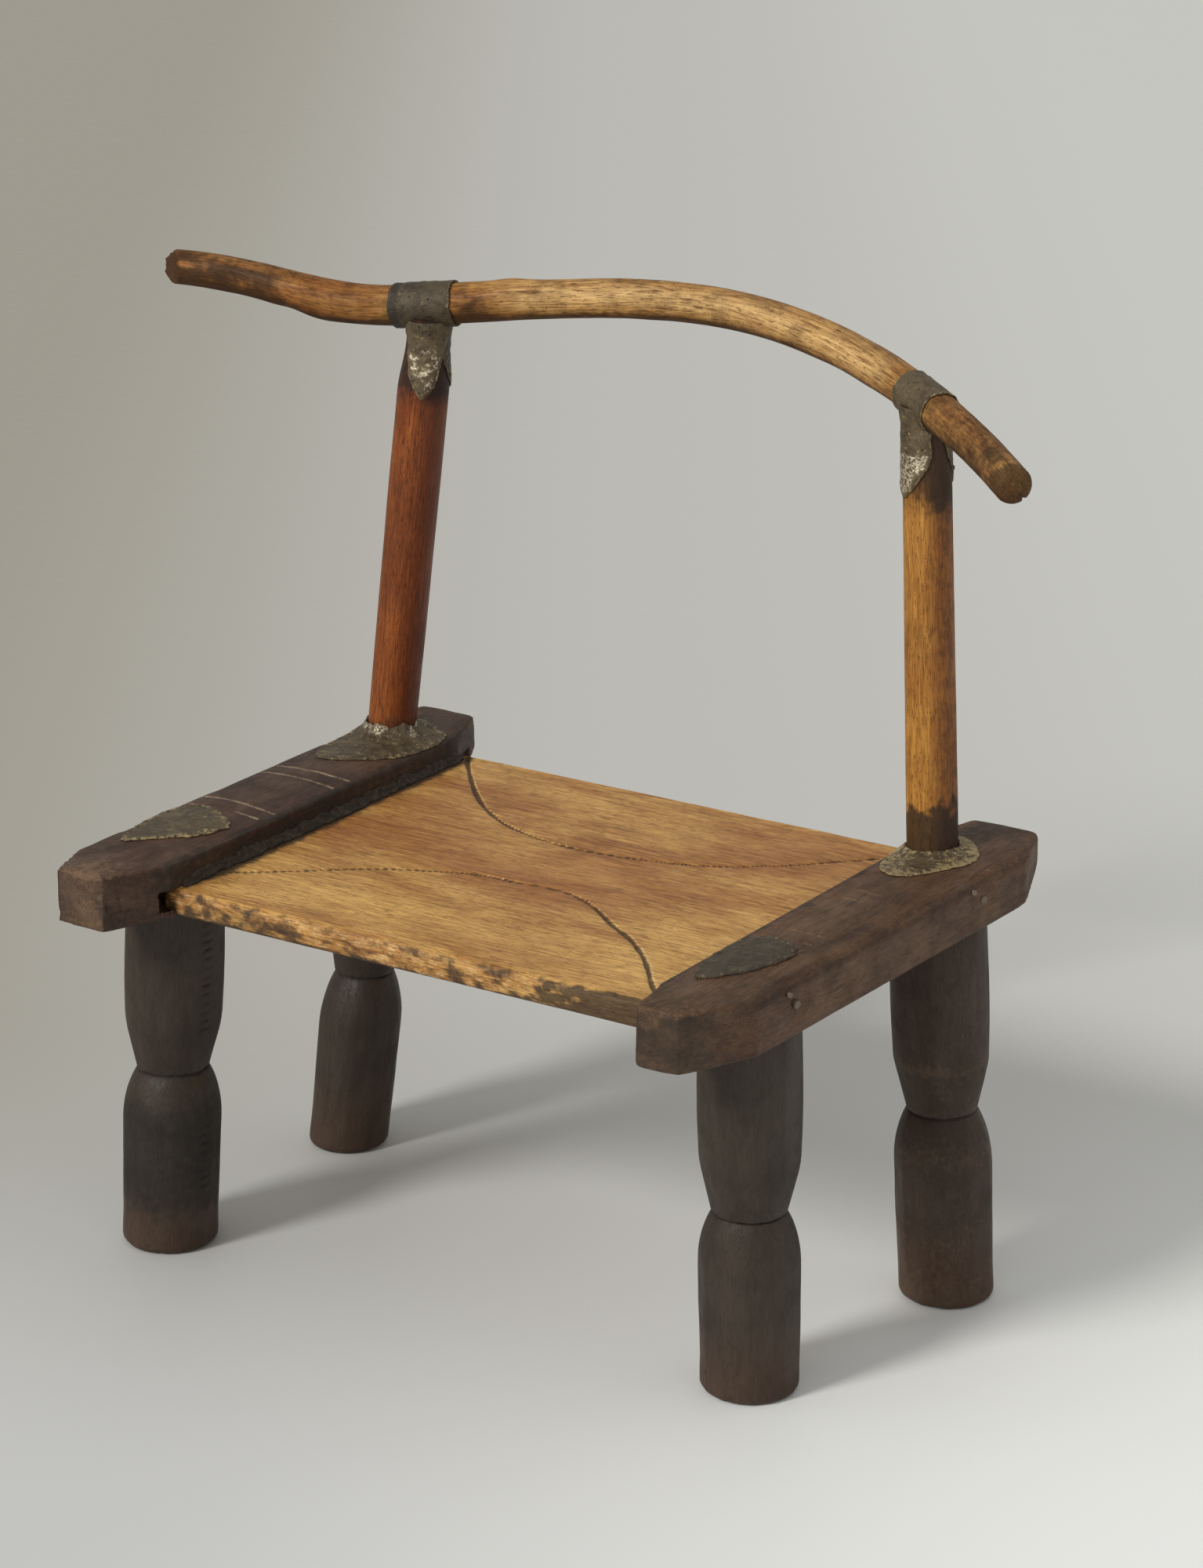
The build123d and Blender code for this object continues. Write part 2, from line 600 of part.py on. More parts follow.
# ================================================================ legs
for end in ENDS:
    for side in OUTWARD:
        name = leg_name(end, side)
        girth = LEG_GIRTH[name]
        foot = leg_foot(end, side)
        direction = leg_direction(end, side)
        top_height = (leg_top(end, side) - foot).length
        tenon = leg_tenon(end, side)
        nail_holes = [nail(end, side, size, HOLE_PLAY) for size in NAIL_SIZES if end == "front"]
        waist = (LEG_WAIST_RADIUS * girth, LEG_WAIST_HEIGHT)
        shoulder = (LEG_SHOULDER_RADIUS * girth, LEG_SHOULDER_HEIGHT)
        rim = (LEG_TOP_RADIUS * girth, top_height + SPARE)
        sole = (LEG_FOOT_RADIUS * girth, -SPARE)
        with BuildPart() as leg:
            with BuildSketch(axis_plane(foot, direction)):
                with BuildLine():
                    Line((0, -SPARE), sole)
                    Spline(
                        sole,
                        (LEG_LOWER_RADIUS * girth, LEG_LOWER_HEIGHT),
                        (LEG_LOWER_SHOULDER_RADIUS * girth, LEG_LOWER_SHOULDER_HEIGHT),
                        waist,
                    )
                    Line(waist, shoulder)
                    Spline(shoulder, (LEG_UPPER_RADIUS * girth, LEG_UPPER_HEIGHT), rim)
                    Line(rim, (0, top_height + SPARE))
                    Line((0, top_height + SPARE), (0, -SPARE))
                make_face()
            revolve(axis=Axis(foot, direction))
            split(bisect_by=Plane.XY.offset(RAIL_BOTTOM), keep=Keep.BOTTOM)
            split(bisect_by=Plane.XY, keep=Keep.TOP)
            fillet(leg.edges().group_by(Axis.Z)[0], LEG_FOOT_ROUNDING)
            add(tenon)
            if nail_holes:
                add(nail_holes, mode=Mode.SUBTRACT)
        pieces[f"{name}_leg"] = leg


# ================================================================ posts
for side in OUTWARD:
    body = post_body(side)
    saddle = branch_at_joint(side, 2 * SLEEVE_LENGTH, WOOD_PLAY)
    nail_holes = [nail("rear", side, size, HOLE_PLAY) for size in NAIL_SIZES]
    tack_holes = [tack_hole(plane) for end in ENDS for plane in strap_tacks(end, side)]
    horn_level = post_head(side).Z - BRANCH_JOINT_RADIUS[side] + CRADLE_DEPTH
    with BuildPart() as post:
        add(body)
        split(bisect_by=Plane.XY.offset(RAIL_TOP - POST_TENON_LENGTH), keep=Keep.TOP)
        split(bisect_by=Plane.XY.offset(horn_level), keep=Keep.BOTTOM)
        add(saddle, mode=Mode.SUBTRACT)
        add(nail_holes, mode=Mode.SUBTRACT)
        add(tack_holes, mode=Mode.SUBTRACT)
    pieces[f"{side}_post"] = post


# ================================================================ back rail
whole_branch = branch_body(0, 1, BRANCH_SECTIONS)
tip_out = -BRANCH_LINE.tangent_at(0)
bevel_normal = tip_out.rotate(Axis.Z, BEVEL_TURN)
with BuildPart() as back_rail:
    add(whole_branch)
    split(bisect_by=Plane(origin=BRANCH_LINE.position_at(0) - tip_out * BEVEL_DEPTH, z_dir=bevel_normal),
          keep=Keep.BOTTOM)
    fillet(back_rail.faces().sort_by(Axis.X)[-1].edges(), BRANCH_END_ROUNDING["right"])
    fillet(back_rail.edges().group_by(Axis.X)[0], BRANCH_END_ROUNDING["left"])
pieces["back_rail"] = back_rail


# ================================================================ sleeves over the branch
for side in OUTWARD:
    outer_tube = branch_at_joint(side, SLEEVE_LENGTH, SHEET_TOP)
    inner_tube = branch_at_joint(side, SLEEVE_LENGTH + 2 * SPARE, SHEET_PLAY)
    post_sheath = post_body(side, SHEET_TOP)
    post_core = post_body(side, SHEET_PLAY)
    tack_holes = [tack_hole(plane) for end in ENDS for plane in strap_tacks(end, side)]
    straps = []
    for end in ENDS:
        length = STRAP_LENGTH[end]
        half = STRAP_WIDTH / 2
        with BuildPart() as strap:
            with BuildSketch(strap_plane(end, side)):
                with BuildLine():
                    Line((half, 0), (-half, 0))
                    Line((-half, 0), (-half, STRAP_POINT - length))
                    Line((-half, STRAP_POINT - length), (0, -length))
                    Line((0, -length), (half, STRAP_POINT - length))
                    Line((half, STRAP_POINT - length), (half, 0))
                make_face()
            extrude(amount=2 * POST_BASE_RADIUS)
            add(post_sheath, mode=Mode.INTERSECT)
        straps.append(strap.part)
    with BuildPart() as sleeve:
        add(outer_tube)
        add(straps)
        add(post_core, mode=Mode.SUBTRACT)
        add(inner_tube, mode=Mode.SUBTRACT)
        add(tack_holes, mode=Mode.SUBTRACT)
    pieces[f"{side}_sleeve"] = sleeve


# ================================================================ patches and collars on the rails
for side in OUTWARD:
    sheet = crown_slab(side, SHEET_PLAY, SHEET_TOP)
    outline = patch_outline(side)
    tack_holes = [tack_hole(plane) for plane in patch_tacks(side)]
    with BuildPart() as patch:
        add(outline)
        extrude(amount=2 * SPARE)
        add(sheet, mode=Mode.INTERSECT)
        add(tack_holes, mode=Mode.SUBTRACT)
    pieces[f"front_{side}_patch"] = patch

    outline = collar_outline(side)
    under_sheet = crown_slab(side, -RAIL_HEIGHT / 2, SHEET_PLAY)
    lip = split(post_body(side, SHEET_TOP), bisect_by=Plane.XY.offset(RAIL_TOP - SPARE), keep=Keep.TOP)
    lip = split(lip, bisect_by=Plane.XY.offset(RAIL_TOP + COLLAR_LIP), keep=Keep.BOTTOM)
    post_core = post_body(side, SHEET_PLAY)
    tack_holes = [tack_hole(plane) for plane in collar_tacks(side)]
    with BuildPart() as collar:
        add(outline)
        extrude(amount=2 * SPARE)
        add(sheet, mode=Mode.INTERSECT)
        add(lip)
        add(under_sheet, mode=Mode.SUBTRACT)
        add(post_core, mode=Mode.SUBTRACT)
        add(tack_holes, mode=Mode.SUBTRACT)
    pieces[f"rear_{side}_collar"] = collar


# ================================================================ resin seams
for side in OUTWARD:
    outward = OUTWARD[side]
    start = PLANK_FRONT + RESIN_END_GAP
    corner = Plane(origin=(across(side, 0), start, SEAT_HEIGHT), x_dir=(-outward, 0, 0), z_dir=(0, outward, 0))
    bulge = (RESIN_WIDTH * cos(radians(45)), RESIN_HEIGHT * sin(radians(45)))
    with BuildPart() as seam:
        with BuildSketch(corner):
            with BuildLine():
                Line((0, 0), (RESIN_WIDTH, 0))
                ThreePointArc((RESIN_WIDTH, 0), bulge, (0, RESIN_HEIGHT))
                Line((0, RESIN_HEIGHT), (0, 0))
            make_face()
        extrude(amount=outward * (PLANK_DEPTH - 2 * RESIN_END_GAP))
    pieces[f"{side}_resin_seam"] = seam


# ================================================================ nails and tacks
for side in OUTWARD:
    rail_nails = [nail(end, side, size) for end in ENDS for size in NAIL_SIZES]
    with BuildPart() as nails:
        add(rail_nails)
    pieces[f"{side}_rail_nails"] = nails

    planes = {
        f"front_{side}_tacks": patch_tacks(side),
        f"rear_{side}_tacks": collar_tacks(side),
        f"{side}_sleeve_tacks": strap_tacks("front", side) + strap_tacks("rear", side),
    }
    for name in planes:
        driven = [tack(plane) for plane in planes[name]]
        with BuildPart() as tacks:
            add(driven)
        pieces[name] = tacks


# ================================================================ origin under the middle
whole = Compound([piece.part for piece in pieces.values()]).bounding_box()
to_middle = Location((-whole.center().X, -whole.center().Y, 0))
os.makedirs("parts", exist_ok=True)
for label, piece in pieces.items():
    piece.part = piece.part.moved(to_middle)
    piece.part.label = label
    export_step(piece.part, f"parts/{label}.step")
print("size", whole.size, "moved by", -whole.center().X, -whole.center().Y)
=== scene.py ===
"""Looks of the low birthing chair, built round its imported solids."""
from itertools import product
from math import cos, pi, radians, sin, tau

import bmesh
import bpy
import numpy as np
from mathutils import Matrix, Vector


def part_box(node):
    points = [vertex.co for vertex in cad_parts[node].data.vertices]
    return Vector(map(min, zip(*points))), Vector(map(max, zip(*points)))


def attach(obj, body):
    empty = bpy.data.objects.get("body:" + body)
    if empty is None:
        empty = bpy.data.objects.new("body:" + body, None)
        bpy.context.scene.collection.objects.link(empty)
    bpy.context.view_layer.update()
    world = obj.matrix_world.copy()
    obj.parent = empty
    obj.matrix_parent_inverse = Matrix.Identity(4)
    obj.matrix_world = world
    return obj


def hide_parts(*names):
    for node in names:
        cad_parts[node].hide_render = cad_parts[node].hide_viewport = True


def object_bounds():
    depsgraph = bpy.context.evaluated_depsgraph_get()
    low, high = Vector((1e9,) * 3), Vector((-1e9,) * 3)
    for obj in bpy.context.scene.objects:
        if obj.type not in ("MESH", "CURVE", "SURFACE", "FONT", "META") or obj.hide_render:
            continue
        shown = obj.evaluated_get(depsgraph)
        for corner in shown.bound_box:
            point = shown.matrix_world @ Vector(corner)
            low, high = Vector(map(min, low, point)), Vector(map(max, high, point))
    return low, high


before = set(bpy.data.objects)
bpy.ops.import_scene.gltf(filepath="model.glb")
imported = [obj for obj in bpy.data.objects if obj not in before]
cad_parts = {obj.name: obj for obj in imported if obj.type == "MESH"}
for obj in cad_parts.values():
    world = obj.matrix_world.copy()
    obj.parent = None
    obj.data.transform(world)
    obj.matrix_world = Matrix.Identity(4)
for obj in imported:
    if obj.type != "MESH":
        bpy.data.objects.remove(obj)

CAD_BOX = [list(corner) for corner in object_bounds()]
MM = 0.001
SEAT_LOW, SEAT_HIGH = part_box("seat_plank")
CHAIR_MIDDLE = np.array([(SEAT_LOW.x + SEAT_HIGH.x) / 2, (SEAT_LOW.y + SEAT_HIGH.y) / 2, 0.0])

# ---------------------------------------------------------------- sizes in mm, from under the plank's middle
SEAT_TOP = 263.0
SEAT_BOTTOM = 245.0
TONGUE_BOTTOM = 252.0
INNER_FACE = 178.0
PLANK_HALF_DEPTH = 156.0
PLANK_HALF_WIDTH = 189.9
RAIL_TOP = 282.0
RAIL_BOTTOM = 245.0
RAIL_FRONT = -204.0
RAIL_REAR = 185.0
OUTWARD = {"left": -1, "right": 1}
GROOVE_DEPTH = 13.5
GROOVE_FRONT = -172.0
LEG_TOPS = {"front_left": (-218.5, -106.0), "front_right": (205.5, -106.0),
            "rear_left": (-216.0, 110.0), "rear_right": (208.0, 110.0)}
LEG_SPLAY = {"front_left": (-11.0, -4.0), "front_right": (-9.5, 19.0),
             "rear_left": (-11.0, -31.0), "rear_right": (22.0, -17.0)}
LEG_GIRTH = {"front_left": 1.01, "front_right": 1.0, "rear_left": 0.92, "rear_right": 0.98}
TENON_RADIUS = 12.4
TENON_LENGTH = {"front": 30.9, "rear": 11.9}
POST_FEET = {"left": (-217.0, 123.0, 282.0), "right": (199.0, 117.5, 282.0)}
POST_HEADS = {"left": (-195.0, 144.5, 569.8), "right": (182.5, 126.8, 560.0)}
POST_RADII = {"left": (16.0, 16.6, 16.9, 13.8), "right": (16.0, 15.6, 15.0, 14.3)}
POST_PLACES = (0.0, 0.35, 0.80, 0.92)
POST_SOCKET = 15.9
CRADLE_DEPTH = 5.0
BRANCH_STATIONS = [
    ((-400.6, 115.5, 577.2), 11.3), ((-325.7, 126.1, 574.0), 11.9), ((-258.0, 135.5, 565.2), 13.2),
    ((-195.0, 144.5, 569.8), 13.2), ((-112.0, 169.5, 578.8), 12.7), ((13.75, 187.05, 582.9), 12.4),
    ((109.0, 168.0, 571.0), 12.5), ((182.5, 126.8, 560.0), 12.3), ((242.0, 82.5, 551.0), 11.6),
    ((296.0, 33.0, 543.5), 11.3),
]
JOINT_STATION = {"left": 3, "right": 7}
SLANTED_CUT = 13.0
SLANT = radians(47.0)
SHEET = 0.9
RAIL_CROWN = 3.0
RAIL_WIDTHS = {"left": (72.0, 69.0), "right": (63.0, 73.0)}   # in front and behind


# ---------------------------------------------------------------- shaping helpers
def placed(points):
    """Millimetres from the plank's middle, as metres in the chair's own frame."""
    return np.asarray(points, float) * MM + CHAIR_MIDDLE


def kept_inside(points):
    """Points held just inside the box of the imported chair."""
    return np.clip(points, np.array(CAD_BOX[0]) + 0.02 * MM, np.array(CAD_BOX[1]) - 0.02 * MM)


def from_frame(points):
    """Metres in the chair's own frame, as millimetres from the plank's middle."""
    return (np.asarray(points, float) - CHAIR_MIDDLE) / MM


def unit(value):
    """Value held between 0 and 1."""
    return np.clip(value, 0, 1)


def hump(value, middle, width):
    """1 where a value is at its middle, falling smoothly on both sides."""
    return np.exp(-((value - middle) / width)**2)


def turn_from(angle, facing):
    """Shortest turn from one direction to another, in radians."""
    return (angle - facing + pi) % tau - pi


def on_round(radius, angle, along):
    """Places on an even round bar, for the unevenness of what is bent or carved round."""
    return np.stack([radius * np.cos(angle) + 0 * along, radius * np.sin(angle) + 0 * along, along], axis=-1)


def all_round(columns):
    """Evenly spaced directions of a full turn."""
    return np.linspace(0, tau, columns, endpoint=False)


def lumps(points, size, seed=0):
    """Smooth unevenness between -1 and 1, with bumps about `size` apart."""
    q = np.asarray(points, float) / np.asarray(size, float)
    cell = np.floor(q).astype(np.int64)
    part = q - cell
    part = part * part * (3 - 2 * part)
    total = np.zeros(q.shape[:-1])
    for corner in product((0, 1), repeat=3):
        i, j, k = np.moveaxis(cell + np.array(corner), -1, 0)
        key = i * 73856093 ^ j * 19349663 ^ k * 83492791 ^ (seed * 2654435761 + 97)
        key = (key ^ (key >> 13)) * 1274126177
        key = (key ^ (key >> 16)) & 0xFFFF
        share = np.prod(np.where(corner, part, 1 - part), axis=-1)
        total += (key / 32767.5 - 1) * share
    return total


def layered(points, size, seed=0, layers=3):
    """Unevenness with finer unevenness on it, still between about -1 and 1."""
    total = sum(lumps(points, np.asarray(size, float) / 2**n, seed + 31 * n) / 2**n for n in range(layers))
    return total / (2 - 2.0**(1 - layers))


def eased(value, low, high):
    """0 below low and 1 above high, smooth between; the other way round if low is the larger."""
    share = unit((np.asarray(value, float) - low) / (high - low))
    return share * share * (3 - 2 * share)


def spot(points, middle, reach):
    """1 at a place, falling to 0 at `reach` from it along each axis."""
    away = (np.asarray(points, float) - np.asarray(middle)) / np.asarray(reach)
    return np.exp(-2.2 * (away**2).sum(axis=-1))


def smooth_line(knots, values):
    """Natural cubic spline through values at knots."""
    knots = np.asarray(knots, float)
    values = np.asarray(values, float)
    flat = values.reshape(len(knots), -1)
    step = np.diff(knots)
    count = len(knots)
    left = np.eye(count)
    right = np.zeros_like(flat)
    for i in range(1, count - 1):
        left[i, i - 1:i + 2] = step[i - 1], 2 * (step[i - 1] + step[i]), step[i]
        right[i] = 6 * ((flat[i + 1] - flat[i]) / step[i] - (flat[i] - flat[i - 1]) / step[i - 1])
    bend = np.linalg.solve(left, right)

    def at(places):
        places = np.asarray(places, float)
        span = np.clip(np.searchsorted(knots, places) - 1, 0, count - 2)
        h = step[span][..., None]
        before = (places - knots[span])[..., None]
        after = h - before
        found = (bend[span] * after**3 + bend[span + 1] * before**3) / (6 * h)
        found = found + (flat[span] / h - bend[span] * h / 6) * after
        found = found + (flat[span + 1] / h - bend[span + 1] * h / 6) * before
        return found.reshape(places.shape + values.shape[1:])

    return at


def marked(mesh, name, values):
    """Keeps a value, or a vector, for each point of a mesh, for its material to read."""
    values = np.asarray(values, np.float32)
    vector = values.ndim == 2
    attribute = mesh.attributes.new(name, "FLOAT_VECTOR" if vector else "FLOAT", "POINT")
    attribute.data.foreach_set("vector" if vector else "value", values.ravel())


def linked(name, data):
    """New object in the scene."""
    made = bpy.data.objects.new(name, data)
    bpy.context.scene.collection.objects.link(made)
    return made


def piece_from(name, points, faces, sharp=None, stage=False):
    """New mesh object from millimetre points."""
    mesh = bpy.data.meshes.new(name)
    points = placed(points) if stage else kept_inside(placed(points))
    mesh.from_pydata([tuple(p) for p in points], [], [tuple(f) for f in faces])
    mesh.shade_smooth()
    if sharp is not None:
        mesh.set_sharp_from_angle(angle=radians(sharp))
    return linked(name, mesh)


def reworked(mesh, change):
    """Makes a change to a mesh's points and faces."""
    work = bmesh.new()
    work.from_mesh(mesh)
    change(work)
    work.to_mesh(mesh)
    work.free()
    mesh.shade_smooth()


def refined(mesh, is_close, cuts, weld=0.0):
    """Smaller faces at the places that is_close picks, after points within `weld` are joined."""
    def divide(work):
        if weld:
            bmesh.ops.remove_doubles(work, verts=work.verts, dist=weld * MM)
        work.verts.ensure_lookup_table()
        work.verts.index_update()
        close = is_close(from_frame([v.co for v in work.verts]))
        edges = [e for e in work.edges if close[e.verts[0].index] and close[e.verts[1].index]]
        bmesh.ops.subdivide_edges(work, edges=edges, cuts=cuts, use_grid_fill=True)

    reworked(mesh, divide)


def points_of(mesh):
    """A mesh's points, in millimetres."""
    co = np.zeros(len(mesh.vertices) * 3)
    mesh.vertices.foreach_get("co", co)
    return from_frame(co.reshape(-1, 3))


def normals_of(mesh):
    """Which way the surface faces at each point of a mesh."""
    n = np.zeros(len(mesh.vertices) * 3)
    mesh.vertices.foreach_get("normal", n)
    return n.reshape(-1, 3)


def set_points(mesh, points):
    """Moves a mesh's points; they stay inside the chair's box."""
    mesh.vertices.foreach_set("co", kept_inside(placed(points)).ravel())
    mesh.update()


def closed_ends(rings):
    """All points of a row of rings, then a middle point for each end."""
    return np.concatenate([rings.reshape(-1, 3), rings[[0, -1]].mean(axis=1)])


def ring_faces(rings, columns):
    """Quads between rings of points, and fans that close both ends; two middle points come last."""
    index = np.arange(rings * columns).reshape(rings, columns)
    beside = np.roll(index, -1, axis=1)
    quads = np.stack([index[:-1], beside[:-1], beside[1:], index[1:]], axis=-1).reshape(-1, 4)
    low, high = rings * columns, rings * columns + 1
    first = [(low, b, a) for a, b in zip(index[0], beside[0])]
    last = [(high, a, b) for a, b in zip(index[-1], beside[-1])]
    return quads.tolist() + first + last


def finished(piece, slot, material, *nodes):
    """Gives a piece its finish and its place among the chair's solids."""
    piece.data.materials.clear()
    piece.data.materials.append(material)
    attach(piece, "root")
    if nodes:
        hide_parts(*nodes)
    return piece


# ---------------------------------------------------------------- shader helpers
def node(tree, kind, sockets=None, **settings):
    """One node; a socket that is given another node's output is linked, any other value is set."""
    made = tree.nodes.new(kind)
    for name, value in settings.items():
        setattr(made, name, value)
    for socket, value in (sockets or {}).items():
        if isinstance(value, bpy.types.NodeSocket):
            tree.links.new(value, made.inputs[socket])
        else:
            made.inputs[socket].default_value = value
    return made


def maths(tree, operation, *values):
    """Output of one maths node."""
    return node(tree, "ShaderNodeMath", dict(enumerate(values)), operation=operation).outputs[0]


def plus(tree, first, second):
    return maths(tree, "ADD", first, second)


def minus(tree, first, second):
    return maths(tree, "SUBTRACT", first, second)


def times(tree, first, second):
    return maths(tree, "MULTIPLY", first, second)


def vector_maths(tree, operation, first, second):
    """Node that works on vectors; its outputs differ with the operation."""
    return node(tree, "ShaderNodeVectorMath", {0: first, 1: second}, operation=operation).outputs


def noise(tree, vector, scale, detail=3.0, roughness=0.55, distortion=0.0):
    """Output of one noise texture, about 0.5 on average."""
    sockets = {"Vector": vector, "Scale": scale, "Detail": detail, "Roughness": roughness,
               "Distortion": distortion}
    return node(tree, "ShaderNodeTexNoise", sockets).outputs["Fac"]


def between(tree, value, low, high, start=0.0, end=1.0):
    """Value eased from start to end as it goes from low to high."""
    sockets = {"Value": value, "From Min": low, "From Max": high, "To Min": start, "To Max": end}
    return node(tree, "ShaderNodeMapRange", sockets, interpolation_type="SMOOTHSTEP").outputs[0]


def tinted(tree, factor, first, second, how="MIX"):
    """Colour that goes from the first to the second with the factor."""
    made = node(tree, "ShaderNodeMix", data_type="RGBA", blend_type=how, clamp_factor=True)
    for socket, value in ((0, factor), (6, first), (7, second)):
        if isinstance(value, bpy.types.NodeSocket):
            tree.links.new(value, made.inputs[socket])
        else:
            made.inputs[socket].default_value = value if socket == 0 else (*value, 1.0)[:4]
    return made.outputs[2]


def group(name, inputs, outputs):
    """Empty shader group with its sockets; gives the tree, its inputs and a function that sets an output."""
    tree = bpy.data.node_groups.new(name, "ShaderNodeTree")
    for label, kind, value in inputs:
        socket = tree.interface.new_socket(label, in_out="INPUT", socket_type=kind)
        if value is not None:
            socket.default_value = value
    for label, kind in outputs:
        tree.interface.new_socket(label, in_out="OUTPUT", socket_type=kind)
    entry = tree.nodes.new("NodeGroupInput")
    leave = tree.nodes.new("NodeGroupOutput")

    def put(label, value):
        tree.links.new(value, leave.inputs[label])

    return tree, entry.outputs, put


def use(tree, shared, **sockets):
    """Outputs of a shared group; an underscore in a name stands for a space."""
    made = node(tree, "ShaderNodeGroup", node_tree=shared)
    for label, value in sockets.items():
        socket = made.inputs[label.replace("_", " ")]
        if isinstance(value, bpy.types.NodeSocket):
            tree.links.new(value, socket)
        elif socket.type == "RGBA":
            socket.default_value = (*value, 1.0)[:4]
        else:
            socket.default_value = value
    return made.outputs


def attribute(tree, name):
    """What a piece keeps at each point under a name."""
    read = node(tree, "ShaderNodeAttribute", attribute_name=name, attribute_type="GEOMETRY")
    return read.outputs["Vector" if name == "grain" else "Fac"]


def material(name, preview):
    """New material; gives it, its node tree and its main shader."""
    made = bpy.data.materials.new(name)
    made.use_nodes = True
    made.diffuse_color = (*preview, 1.0)
    tree = made.node_tree
    tree.nodes.clear()
    shader = node(tree, "ShaderNodeBsdfPrincipled")
    leave = node(tree, "ShaderNodeOutputMaterial", {"Surface": shader.outputs[0]})
    leave.is_active_output = True
    return made, tree, shader


def surface(tree, shader, colour, roughness, height, depth):
    """Joins a finish's colour, roughness and relief to its shader; depth is in metres."""
    tree.links.new(colour, shader.inputs["Base Color"])
    tree.links.new(roughness, shader.inputs["Roughness"])
    bump = node(tree, "ShaderNodeBump", {"Strength": 1.0, "Distance": depth, "Height": height})
    tree.links.new(bump.outputs[0], shader.inputs["Normal"])


# ---------------------------------------------------------------- shared effects
FLOAT, VECTOR, COLOUR = "NodeSocketFloat", "NodeSocketVector", "NodeSocketColor"


def make_grain():
    """Wood grain along a piece: streaks, fine fibres, open pores and broad blotches."""
    tree, given, put = group(
        "wood_grain",
        [("Place", VECTOR, None), ("Streak Width", FLOAT, 0.004), ("Streak Length", FLOAT, 12.0),
         ("Pore Length", FLOAT, 0.006)],
        [("Streaks", FLOAT), ("Fibres", FLOAT), ("Dashes", FLOAT), ("Pores", FLOAT), ("Blotches", FLOAT)])
    wander = noise(tree, given["Place"], 9.0, 2.0)
    shift = node(tree, "ShaderNodeCombineXYZ",
                 {"X": times(tree, wander, 0.008), "Y": times(tree, wander, -0.006)})
    bent = vector_maths(tree, "ADD", given["Place"], shift.outputs[0])
    split = node(tree, "ShaderNodeSeparateXYZ", {0: bent[0]})

    def drawn_out(length):
        along = maths(tree, "DIVIDE", split.outputs[2], length)
        sockets = {"X": split.outputs[0], "Y": split.outputs[1], "Z": along}
        return node(tree, "ShaderNodeCombineXYZ", sockets).outputs[0]

    frequency = maths(tree, "DIVIDE", 1.0, given["Streak Width"])
    streaks = noise(tree, drawn_out(given["Streak Length"]), frequency, 4.0, 0.62, 0.3)
    put("Streaks", between(tree, streaks, 0.3, 0.7))
    put("Fibres", noise(tree, drawn_out(26.0), 1100.0, 3.0, 0.7))
    put("Dashes", between(tree, noise(tree, drawn_out(18.0), 620.0, 2.0, 0.5), 0.52, 0.72))
    dash = maths(tree, "DIVIDE", given["Pore Length"], 0.0007)
    pores = noise(tree, drawn_out(dash), 1350.0, 1.0, 0.4)
    put("Pores", between(tree, pores, 0.62, 0.70))
    put("Blotches", noise(tree, drawn_out(2.6), 30.0, 4.0, 0.62, 0.4))
    return tree


def make_handling():
    """What long handling leaves: grime in the hollows, rubbed patches, specks and small dents; on sheet metal
    the rubbed patches are its painted glints.
    """
    tree, given, put = group(
        "handling",
        [("Place", VECTOR, None), ("Rubbed", FLOAT, 0.0), ("Speck Size", FLOAT, 0.0015)],
        [("Grime", FLOAT), ("Rubbed", FLOAT), ("Specks", FLOAT), ("Dents", FLOAT)])
    broad = noise(tree, given["Place"], 38.0, 5.0, 0.65)
    put("Grime", between(tree, broad, 0.42, 0.68))
    ragged = noise(tree, given["Place"], 260.0, 4.0, 0.65)
    reach = plus(tree, given["Rubbed"], times(tree, minus(tree, ragged, 0.5), 1.1))
    put("Rubbed", between(tree, reach, 0.38, 0.72))
    frequency = maths(tree, "DIVIDE", 1.0, given["Speck Size"])
    cells = node(tree, "ShaderNodeTexVoronoi", {"Vector": given["Place"], "Scale": frequency})
    picked = node(tree, "ShaderNodeSeparateColor", {0: cells.outputs["Color"]})
    near = between(tree, cells.outputs["Distance"], 0.42, 0.2)
    put("Specks", times(tree, near, maths(tree, "GREATER_THAN", picked.outputs[0], 0.93)))
    put("Dents", noise(tree, given["Place"], 170.0, 3.0, 0.5))
    return tree


GRAIN = make_grain()
HANDLING = make_handling()


